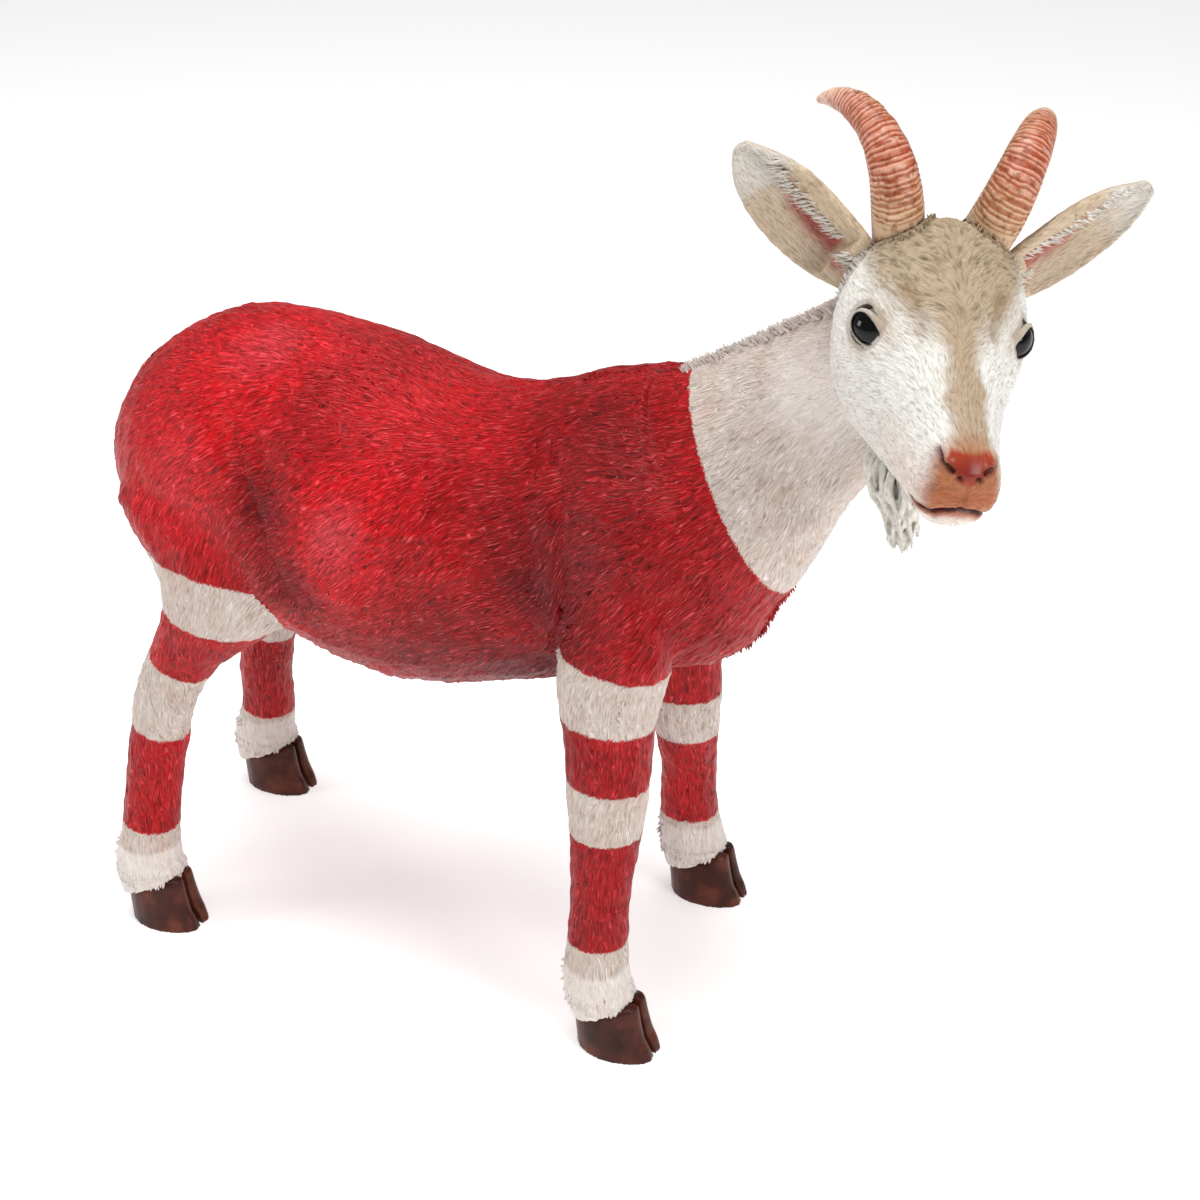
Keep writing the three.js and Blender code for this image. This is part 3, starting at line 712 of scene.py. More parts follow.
for leg in ("front_right_leg", "front_left_leg", "hind_right_leg", "hind_left_leg"):
    hoof_low, hoof_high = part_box(leg.replace("leg", "hoof"))
    centre = ((hoof_low.x * 0.56 + hoof_high.x * 0.44), (hoof_low.y + hoof_high.y) / 2)
    for height, size, droop in ((0.047, (0.003, 0.006), 4.4), (0.054, (0.003, 0.006), 5.0)):
        at, facing = ring_of(coat_tree, centre, height, 0.09, int(90 * thin))
        stand = unit(facing * 0.45 + np.array((0, 0, -droop)) + chance.normal(0, 0.35, at.shape))
        length = chance.uniform(*size, len(at))[:, None]
        trim(leg, (at - facing * 0.0022, at + stand * length, facing * 0.0012,
                   chance.uniform(0.8, 1.5, len(at)) * 0.0014), False)
    at, facing = ring_of(coat_tree, centre, 0.068, 0.09, int(80 * thin))
    behind = facing[:, 0] < -0.55
    at, facing = at[behind], facing[behind]
    stand = unit(facing * 0.9 + np.array((0, 0, -1.1)) + chance.normal(0, 0.2, at.shape))
    at = at + np.array((0, 0, 1.0)) * chance.normal(0, 0.004, (len(at), 1))
    trim(leg, (at - facing * 0.003, at + stand * chance.uniform(0.003, 0.006, (len(at), 1)), facing * 0.001,
               np.full(len(at), 0.0018)), False)

for index, node in enumerate(COAT_NODES):
    if node == "head_shell":
        continue
    part = cut_out(face_owner == index, points, faces, normals, values)
    piece = build("coat_" + node, [part] + trims[node], ("lay", "red", "rubbed"))
    piece.data.materials.append(coat_paint)
    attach(piece, "root")
    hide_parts(node)

# ---- Head: one hollow casting with lids, brows, nostrils and lips modelled on it ----
# The face is carved resin under airbrushed paint: white cheeks, a tan forehead and bridge, and an
# orange muzzle with a wet-looking nose pad. Sizes in this section are millimetres in the head.

FACE_AT = np.array((0.3132, -0.0482, 0.633))
FACE_AXES = unit(np.array(((0.461, -0.832, -0.309), (0.845, 0.518, -0.132), (0.270, -0.200, 0.942))))
HEAD_GRAIN = 0.0012
EYE_BALL = 16.5


def in_head(spots):
    """Points of the room as ahead, left and up of the middle of the face, in millimetres."""
    return (np.asarray(spots) - FACE_AT) @ FACE_AXES.T * 1000


def in_room(spots):
    """Points given in the head's millimetres, as points of the room."""
    return np.asarray(spots, float) / 1000 @ FACE_AXES + FACE_AT


def tube(line, widths, sides=8, closed=False):
    """A tube round a line of points, in metres, as a closed mesh."""
    line, widths = np.asarray(line, float), np.broadcast_to(widths, len(line))
    count = len(line)
    if closed:
        runs = unit(np.roll(line, -1, 0) - np.roll(line, 1, 0))
    else:
        runs = unit(np.gradient(line, axis=0))
    tool = bmesh.new()
    over = unit(np.cross(runs[0], (0.31, 0.2, 0.93)))
    rings = []
    for at, run, width in zip(line, runs, widths):
        over = unit(over - run * (over @ run))
        beside = np.cross(run, over)
        rings.append(
            [
                tool.verts.new(at + width * (over * math.cos(turn) + beside * math.sin(turn)))
                for turn in np.arange(sides) * math.tau / sides
            ]
        )
    for k in range(count if closed else count - 1):
        here, there = rings[k], rings[(k + 1) % count]
        offset = 0
        if closed and k == count - 1:
            offset = min(range(sides), key=lambda o: (here[0].co - there[o].co).length)
        for j in range(sides):
            far = (there[(j + 1 + offset) % sides], there[(j + offset) % sides])
            tool.faces.new((here[j], here[(j + 1) % sides], *far))
    if not closed:
        tool.faces.new(rings[0][::-1])
        tool.faces.new(rings[-1])
    bmesh.ops.recalc_face_normals(tool, faces=tool.faces)
    mesh = bpy.data.meshes.new("tube")
    tool.to_mesh(mesh)
    tool.free()
    return mesh


def lump(centre, radii):
    """A ball of clay pressed to these radii along the head's own directions."""
    tool = bmesh.new()
    bmesh.ops.create_icosphere(tool, subdivisions=3, radius=1.0)
    for vert in tool.verts:
        vert.co = Vector(in_room(np.array(centre) + np.array(vert.co) * np.array(radii)))
    bmesh.ops.recalc_face_normals(tool, faces=tool.faces)
    mesh = bpy.data.meshes.new("lump")
    tool.to_mesh(mesh)
    tool.free()
    return mesh


def eye_frame(side):
    """The eye's middle, the way it looks, the way to its tear duct and its upper side."""
    low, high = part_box("right_eye" if side < 0 else "left_eye")
    look = unit(np.array((0.66, 0.68 * side, 0.34)))
    centre = in_head((low + high) / 2) - look * 3.0
    duct = np.array((1.0, -0.25 * side, -0.22))
    duct = unit(duct - look * (duct @ look))
    above = np.cross(look, duct) * -side
    return centre, look, duct, above if above[2] > 0 else -above


def lid_line(side, turns, wide=1.0, radius=EYE_BALL + 0.9):
    """The rim of the eye's opening, laid on the ball."""
    centre, look, duct, above = eye_frame(side)
    spots = []
    for turn in turns:
        along, up = math.cos(turn), math.sin(turn)
        u = (15.4 if along > 0 else 12.6) * math.copysign(abs(along) ** 0.85, along) * wide
        v = (9.8 if up > 0 else 8.8) * math.copysign(abs(up) ** 1.05, up) * wide
        depth = math.sqrt(max(radius**2 - u * u - v * v, 4.0))
        spots.append(centre + duct * u + above * v + look * depth)
    return np.array(spots)


face_clay = []
for side in (-1, 1):
    turns = np.arange(28) * math.tau / 28
    lid_thick = np.array([1.4 + 0.8 * max(math.sin(t), 0) for t in turns]) / 1000
    face_clay.append(tube(in_room(lid_line(side, turns)), lid_thick, closed=True))
    centre, look, duct, above = eye_frame(side)
    brow = [centre + duct * u + above * v + look * w for u, v, w in
            ((-14, 10.5, 5), (-6, 13.8, 7.5), (2, 15.0, 8), (11, 13.4, 6), (19, 9, 2))]
    face_clay.append(tube(in_room(brow), np.array((2.0, 3.8, 4.4, 3.8, 2.0)) / 1000))
    under = [centre + duct * u + above * v + look * w for u, v, w in
             ((-11, -11.5, 5.5), (-2, -13.6, 6.5), (8, -12.8, 5.5), (17, -8, 2))]
    face_clay.append(tube(in_room(under), np.array((1.6, 2.6, 2.6, 1.6)) / 1000))
    face_clay.append(lump((117, 14.5 * side, -13), (10, 6.5, 7)))
    face_clay.append(lump((118, 12 * side, -38), (13, 10, 11)))
face_clay.append(lump((118, 0, -54), (13, 15, 8)))

head_points, head_faces = skin_over(clay("head_clay", ("head_shell",), face_clay), HEAD_GRAIN, 0.0003)
head_pairs = edge_pairs(head_faces)
head_points = spread(head_points, head_pairs, 5, 0.5)
spot = in_head(head_points)
near_eye = np.minimum(*(np.linalg.norm(spot - eye_frame(side)[0], axis=1) for side in (-1, 1)))
calm = ramp(near_eye, 18.5, 27) * (1 - 0.85 * ramp(spot[:, 0], 106, 116))
head_points = spread(head_points, head_pairs, 14, (0.5 * calm)[:, None])
head_normals = normals_of(head_points, head_faces)
head_tree = BVHTree.FromPolygons(head_points.tolist(), head_faces.tolist())


def on_face(line, steps=5):
    """A line in head millimetres, pressed on to the skin of the head, in metres."""
    line = np.asarray(line, float)
    ticks = np.linspace(0, len(line) - 1, (len(line) - 1) * steps + 1)
    dense = np.stack([np.interp(ticks, np.arange(len(line)), line[:, k]) for k in range(3)], 1)
    return np.array([head_tree.find_nearest(Vector(p))[0] for p in in_room(dense)])


def both(line):
    """A line on the left of the face, and its mirror on the right."""
    line = np.asarray(line, float)
    return [on_face(line), on_face(line * np.array((1, -1, 1)))]


# lines on the face that are sunk or raised, from the middle outwards
NOSTRILS = both(
    ((129, 6.5, -19), (127, 10, -17.5), (124, 14, -14.5), (119.5, 17.5, -11.5), (114, 18.5, -11))
)
MOUTH = both(((134, 0, -44.5), (131, 10, -46), (126, 19, -49), (115, 25, -56), (101, 27, -64)))
BROW_CREASES = both(((2, 33, 30), (12, 30, 28), (24, 25, 21), (34, 22, 12)))
PHILTRUM = [on_face(((134, 0, -22), (136, 0, -34), (135, 0, -43)))]
PARTING = [on_face(((34, 0, 28), (10, 0, 38), (-20, 0, 51), (-42, 0, 56)))]
JAW_CREASES = both(((-16, 60, -52), (-2, 62, -70), (12, 56, -88)))
CHEEK_CRESTS = both(((26, 38, -14), (50, 33, -24), (76, 28, -34)))
nostril_gap = np.minimum(*(away_from(head_points, line) for line in NOSTRILS))
mouth_gap = np.minimum(*(away_from(head_points, line) for line in MOUTH))
for lines, width, depth in (
    (NOSTRILS, 0.0019, -0.0042),
    (MOUTH, 0.0023, -0.0045),
    (BROW_CREASES, 0.0035, -0.0016),
    (PHILTRUM, 0.0014, -0.0011),
    (PARTING, 0.0030, -0.0008),
    (JAW_CREASES, 0.0060, 0.0010),
    (CHEEK_CRESTS, 0.0080, 0.0014),
):
    for line in lines:
        head_points = pressed(head_points, head_normals, line, width, depth)
head_points = spread(head_points, head_pairs, 1, 0.5)
head_normals = normals_of(head_points, head_faces)
spot = in_head(head_points)
ahead, left, up = spot.T

on_brow = ramp(up, 8, 26) * (1 - ramp(ahead, 30, 70))
lay_in_head = np.stack(
    [
        -1.0 + 0.2 * on_brow,
        np.sign(left) * (0.15 + 0.75 * on_brow * ramp(np.abs(left), 0, 14)),
        -0.35 * (1 - on_brow) * ramp(np.abs(left), 10, 30),
    ],
    1,
)
turn = 0.40 * cloud(head_points, 0.030, 21) + 0.25 * cloud(head_points, 0.011, 22)
head_lay = combed(unit(lay_in_head) @ FACE_AXES, head_normals, turn)
strands = comb(head_points, head_faces, head_lay, 12, 6)
near_eye = np.minimum(*(np.linalg.norm(spot - eye_frame(side)[0], axis=1) for side in (-1, 1)))
bare = np.clip(
    ramp(-near_eye, -EYE_BALL - 3.2, -EYE_BALL - 2.2)
    + ramp(-mouth_gap, -0.004, -0.002)
    + ramp(ahead, 120, 127) * (1 - ramp(np.abs(left), 13, 19)) * ramp(up, -27, -20),
    0, 1,
)
fluff = 0.00022 + 0.00035 * ramp(-ahead, -10, 25) * ramp(up, 10, 35)
head_points = head_points + head_normals * (fluff * (1 - bare) * np.clip(strands, -2.2, 2.2))[:, None]
head_normals = normals_of(head_points, head_faces)


def laid_on(under, weight, code, strength=1.0):
    """One more airbrushed colour over the paint so far."""
    over = np.array(shade_of(code)[:3])
    return under + (over - under) * (np.clip(weight, 0, 1) * strength)[:, None]


wide = np.abs(left)
soft = 3.5 * cloud(head_points, 0.016, 31) + 2.5 * cloud(head_points, 0.006, 32)
airbrush = np.tile(shade_of("#E9E9E6")[:3], (len(spot), 1))
airbrush = laid_on(airbrush, ramp(ahead, 40, 95) * ramp(-up, 10, 45), "#EEDFD6", 0.6)
airbrush = laid_on(airbrush, ramp(-ahead + soft, 48, 84), "#DACEC6", 0.85)
crown = ramp(up + soft, 12, 34) * (1 - ramp(ahead + soft, 30, 60)) * (1 - 0.5 * ramp(wide, 46, 60))
airbrush = laid_on(airbrush, crown, "#AE9A7E", 0.95)
airbrush = laid_on(airbrush, crown * ramp(-strands, 0.2, 1.8), "#75654F", 0.6)
bridge = (1 - ramp(wide + soft * 1.2, 6, 24 - 0.06 * ahead)) * ramp(ahead, 14, 40) * ramp(up, -24, -8)
airbrush = laid_on(airbrush, bridge, "#AB9377", 0.92)
for side in (-1, 1):
    centre, look, duct, above = eye_frame(side)
    local = spot - centre
    u, v = local @ duct, local @ above
    ring = np.exp(-(((u - 6) / 17) ** 2 + ((v - 12) / 9) ** 2)) * (local @ look > -4)
    airbrush = laid_on(airbrush, ring, "#B59A78", 0.55)
    below = np.exp(-(((u - 5) / 15) ** 2 + ((v + 13) / 7) ** 2)) * (local @ look > -4)
    airbrush = laid_on(airbrush, below, "#D9CBB6", 0.5)
crease_gap = np.minimum(*(away_from(head_points, line) for line in BROW_CREASES))
airbrush = laid_on(airbrush, soft_spot(crease_gap, 0.006), "#8A6C44", 0.6)
muzzle = ramp(ahead + soft * 0.8, 102, 128) * (1 - 0.7 * ramp(wide, 18, 28)) * ramp(up + soft, -60, -40)
airbrush = laid_on(airbrush, muzzle, "#A86233", 0.95)
airbrush = laid_on(airbrush, ramp(ahead, 120, 132) * soft_spot(up + 33, 11), "#A6552A", 0.6)
pad_edge = 16.5 - np.abs(up + 9) * 0.95
pad = ramp(ahead, 113, 119) * ramp(pad_edge - wide, -0.8, 0.8) * ramp(-up, 4.5, 7.0) * ramp(up, -25, -22)
airbrush = laid_on(airbrush, pad, "#983A22")
heart = pad * np.exp(-((left / 9) ** 2 + ((up + 14) / 6) ** 2))
airbrush = laid_on(airbrush, heart, "#74140D", 0.95)
airbrush = laid_on(airbrush, soft_spot(nostril_gap, 0.0024), "#4E0F0B")
airbrush = laid_on(airbrush, ramp(-mouth_gap, -0.0060, -0.0030) * ramp(ahead, 96, 112), "#BE7354", 0.85)
airbrush = laid_on(airbrush, ramp(-mouth_gap, -0.0034, -0.0018), "#43100F")
airbrush = laid_on(airbrush, ramp(-near_eye, -EYE_BALL - 4.2, -EYE_BALL - 2.2), "#8E7C69", 0.6)
lid_ring = np.linspace(0, math.tau, 40)
lid_gap = np.minimum(*(away_from(head_points, in_room(lid_line(side, lid_ring))) for side in (-1, 1)))
by_lid = ramp(-near_eye, -EYE_BALL - 2.0, -EYE_BALL - 1.2) * ramp(-lid_gap, -0.0042, -0.0028)
on_ball = ramp(-near_eye, -EYE_BALL - 0.6, -EYE_BALL - 0.2)
airbrush = laid_on(airbrush, np.maximum(by_lid, on_ball), "#1B110C")
wet_lids = ramp(-near_eye, -EYE_BALL - 3.0, -EYE_BALL - 2.0)
gloss = np.clip(pad + wet_lids + 0.6 * ramp(-mouth_gap, -0.0045, -0.003), 0, 1)

# Satin enamel, airbrushed in soft-edged colours over carved hair. It is smoother and glossier on
# the nose pad, the lips and the lids, which are varnished to look wet.
face_paint, tree, surface = fresh_material("airbrushed_enamel_on_resin")
hair = carved_hair(tree, strand=0.0011, length=0.008, tuft=0.013)
tint = add_node(tree, "Attribute", attribute_name="airbrush").outputs["Color"]
bare_of = add_node(tree, "Attribute", attribute_name="gloss").outputs["Fac"]
# painted shade: the face darkens in the hair's valleys
hair_valley_shade = colours_along(
    tree, hair, ((0.25, "#A89E92"), (0.40, "#D8D1C8"), (0.54, "#F4F2EF"), (0.7, "#FFFFFF"))
)
furred = blend_colours(tree, 0.75, tint, hair_valley_shade, "MULTIPLY")
tree.links.new(blend_colours(tree, bare_of, furred, tint), surface.inputs["Base Color"])
rise = add_node(tree, "MapRange", {"Value": bare_of, "To Min": 0.7, "To Max": 0.0}).outputs[0]
lift = add_node(tree, "Bump", {"Height": hair, "Distance": 0.0012, "Strength": rise})
tree.links.new(lift.outputs[0], surface.inputs["Normal"])
tree.links.new(
    add_node(tree, "MapRange", {"Value": bare_of, "To Min": 0.45, "To Max": 0.32}).outputs[0],
    surface.inputs["Roughness"],
)
surface.inputs["Specular IOR Level"].default_value = 0.28
head_parts = [as_part(head_points, head_normals, head_faces, lay=head_lay, airbrush=airbrush, gloss=gloss)]
head_tree = BVHTree.FromPolygons(head_points.tolist(), head_faces.tolist())
for side in (-1, 1):
    for middle, way, across_by, along_by, reach, count in (
        ((-57, 33, 44), (-0.05, 0.12, 1.0), 21.5, 20.5, (0.003, 0.007), 200),
        ((-54, 56, 6), (-0.45, 0.75, 0.50), 15.0, 22.0, (0.004, 0.008), 200),
    ):
        middle, way = np.array(middle) * (1, side, 1), unit(np.array(way) * (1, side, 1))
        one = unit(np.cross(way, (1, 0, 0)))
        two = np.cross(way, one)
        roots, tips = [], []
        for turn in chance.uniform(0, math.tau, int(count * thin)):
            apart = 1 + chance.uniform(0.0, 0.14)
            out = one * math.cos(turn) * along_by + two * math.sin(turn) * across_by
            start = middle + out * apart + way * 16
            hit = head_tree.ray_cast(Vector(in_room(start)), Vector(-way @ FACE_AXES), 0.045)
            if hit[0] is None:
                continue
            stand = unit(way - unit(out) * 0.10 + chance.normal(0, 0.16, 3)) @ FACE_AXES
            roots.append(np.array(hit[0]) - np.array(hit[1]) * 0.002)
            tips.append(roots[-1] + stand * chance.uniform(*reach))
        worn_by = np.array([airbrush[np.abs(head_points - root).sum(1).argmin()] for root in roots])
        head_parts.append(
            locks(np.array(roots), np.array(tips), np.zeros((len(roots), 3)),
                  chance.uniform(0.8, 1.4, len(roots)) * 0.0011,
                  airbrush=worn_by, gloss=np.zeros(len(roots)))
        )
head_piece = build("carved_head", head_parts, ("lay", "airbrush", "gloss"))
head_piece.data.materials.append(face_paint)
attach(head_piece, "root")
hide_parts("head_shell")

# ---- Eyes: two glass balls with a dark iris, set behind the lids ----
# Each is a blown glass ball, painted on its back: a brown iris that darkens to a wide black pupil,
# under a clear bulge that gives a sharp highlight.

# Polished glass, painted behind: near black, with a small hard highlight.
eye_glass, tree, surface = fresh_material("dark_glass_eye")
look_of = add_node(tree, "Attribute", attribute_name="look").outputs["Fac"]
iris = colours_along(
    tree, look_of,
    (
        (0.0, "#B9A794"), (0.36, "#A08C7A"), (0.41, "#0C0705"),
        (0.56, "#20130B"), (0.72, "#160C07"), (0.82, "#030202"),
    ),
)
tree.links.new(iris, surface.inputs["Base Color"])
surface.inputs["Roughness"].default_value = 0.04
surface.inputs["Specular IOR Level"].default_value = 0.28
for side, name in ((-1, "right_eye"), (1, "left_eye")):
    centre, look, duct, above = eye_frame(side)
    bpy.ops.mesh.primitive_uv_sphere_add(segments=48, ring_count=32, radius=1.0, location=(0, 0, 0))
    ball = bpy.context.object
    ball.name = "glass_" + name
    spots = np.empty(len(ball.data.vertices) * 3)
    ball.data.vertices.foreach_get("co", spots)
    spots = spots.reshape(-1, 3)
    facing = spots @ look
    bulge = 1 + 0.03 * ramp(facing, 0.72, 0.95)
    placed = in_room(centre + spots * EYE_BALL * bulge[:, None])
    ball.data.vertices.foreach_set("co", placed.ravel())
    layer = ball.data.attributes.new("look", "FLOAT", "POINT")
    layer.data.foreach_set("value", np.clip(facing, 0, 1).astype(np.float32))
    bpy.ops.object.shade_smooth()
    ball.data.materials.append(eye_glass)
    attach(ball, "root")
    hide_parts(name)

# ---- Horns: two solid castings with close growth rings, pegged into the skull ----
# Each is satin enamel over resin: a tan ground, a terracotta wash rubbed into the rings, and a
# pale dry-brushed tip. The rings are cut about 3.6 mm apart.

HORN_ROOT = np.array((-56.0, 33.0, 44.0))
HORN_RUN = 132 * np.array(
    ((-0.02, -0.03, -0.1), (-0.03, 0.02, 0.08), (-0.1, 0.08, 0.26), (-0.26, 0.16, 0.37),
     (-0.46, 0.25, 0.38), (-0.63, 0.33, 0.31), (-0.72, 0.38, 0.23), (-0.76, 0.40, 0.17))
)
RING_STEP = 0.0036
HORN_GRAIN = 0.0009


def along_line(spots, line):
    """How far along a line of points the nearest place is, in the line's own unit."""
    best, where, gone = np.full(len(spots), 1e9), np.zeros(len(spots)), 0.0
    for start, end in zip(line[:-1], line[1:]):
        run = end - start
        length = np.linalg.norm(run)
        share_of = np.clip((spots - start) @ run / length**2, 0, 1)
        gap = np.linalg.norm(spots - start - share_of[:, None] * run, axis=1)
        closer = gap < best
        best = np.where(closer, gap, best)
        where = np.where(closer, gone + share_of * length, where)
        gone += length
    return where


def smooth_line(line, steps=8):
    """The same line with more points, rounded at its corners."""
    ticks = np.linspace(0, len(line) - 1, (len(line) - 1) * steps + 1)
    dense = np.stack([np.interp(ticks, np.arange(len(line)), line[:, k]) for k in range(line.shape[1])], 1)
    for _ in range(steps * 2):
        dense[1:-1] = (dense[:-2] + dense[2:]) / 2
    return dense


# Enamel with a thin wash wiped over it: the wash stays in the grooves and the crests rub pale.
horn_paint, tree, surface = fresh_material("washed_enamel_on_resin")
ring_of_horn = add_node(tree, "Attribute", attribute_name="ring").outputs["Fac"]
place = add_node(tree, "TexCoord").outputs["Object"]
flecks = add_node(tree, "TexNoise", {"Vector": place, "Scale": 220.0, "Detail": 3.0}).outputs["Fac"]
ground = add_node(tree, "Attribute", attribute_name="airbrush").outputs["Color"]
grooves = colours_along(tree, ring_of_horn, ((0.0, "#A8553F"), (0.4, "#D9A084"), (0.75, "#FFF1E4")))
worn_ring = blend_colours(tree, 0.75, ground, grooves, "MULTIPLY")
crest_of = add_node(tree, "Math", {0: ring_of_horn, 1: 3.0}, operation="POWER").outputs[0]
crest_of = add_node(tree, "Math", {0: crest_of, 1: 0.45}, operation="MULTIPLY").outputs[0]
worn_ring = blend_colours(tree, crest_of, worn_ring, shade_of("#EFD6C4"))
speckle = colours_along(tree, flecks, ((0.36, "#B79A84"), (0.5, "#FFFFFF")))
worn_ring = blend_colours(tree, 0.7, worn_ring, speckle, "MULTIPLY")
tree.links.new(worn_ring, surface.inputs["Base Color"])
lift = add_node(tree, "Bump", {"Height": flecks, "Distance": 0.0006, "Strength": 0.5})
tree.links.new(lift.outputs[0], surface.inputs["Normal"])
surface.inputs["Roughness"].default_value = 0.38
surface.inputs["Specular IOR Level"].default_value = 0.3

for side, name in ((-1, "right_horn"), (1, "left_horn")):
    horn_points, horn_faces, _ = soft_skin(clay("horn_clay", (name,)), HORN_GRAIN, 0.0, 16)
    horn_normals = normals_of(horn_points, horn_faces)
    spot = in_head(horn_points)
    line = smooth_line((HORN_ROOT + HORN_RUN) * np.array((1, side, 1)))
    reach = along_line(spot, line) / 1000
    wobble = 0.0011 * cloud(horn_points, 0.014, 41) + 0.0006 * cloud(horn_points, 0.005, 42)
    sag = 0.0022 * (horn_normals @ FACE_AXES.T)[:, 0]
    phase = (reach + wobble + sag) / RING_STEP
    saw = phase - np.floor(phase)
    ring = np.where(saw < 0.72, saw / 0.72, (1 - saw) / 0.28) ** 0.8
    fade = (1 - ramp(reach, 0.118, 0.136)) * ramp(reach, 0.012, 0.026)
    depth = (0.00075 * fade * (0.7 + 0.5 * cloud(horn_points, 0.011, 43)))[:, None]
    horn_points = horn_points + horn_normals * (ring - 0.5)[:, None] * depth
    horn_normals = normals_of(horn_points, horn_faces)
    level = horn_normals @ FACE_AXES.T
    tint = np.tile(shade_of("#BC9A70")[:3], (len(spot), 1))
    patch = 7 * cloud(horn_points, 0.016, 44)
    wash = ramp(reach * 1000 + patch, 22, 58) * ramp(level[:, 0] + 0.03 * patch, -0.75, 0.25)
    tint = laid_on(tint, wash, "#B8573C", 0.75)
    pale = ramp(reach * 1000 + patch * 0.5, 92, 132) * 0.8
    pale = pale + ramp(-level[:, 0], 0.1, 0.8) * ramp(reach * 1000, 60, 110)
    tint = laid_on(tint, pale, "#E9D0C4", 0.85)
    tint = laid_on(tint, ramp(-reach * 1000, -30, -14), "#B79E7C", 0.7)
    part = as_part(horn_points, horn_normals, horn_faces, airbrush=tint, ring=ring * fade + (1 - fade) * 0.8)
    horn = build("ringed_" + name, [part], ("airbrush", "ring"))
    horn.data.materials.append(horn_paint)
    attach(horn, "root")
    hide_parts(name)

# ---- Ears: two thin cupped castings with tufts at the tip and a pink hollow ----
# The back and the rolled upper rim are tan, the cup is pale with a pink hollow, and carved white
# tufts hang over the hollow from the upper rim.

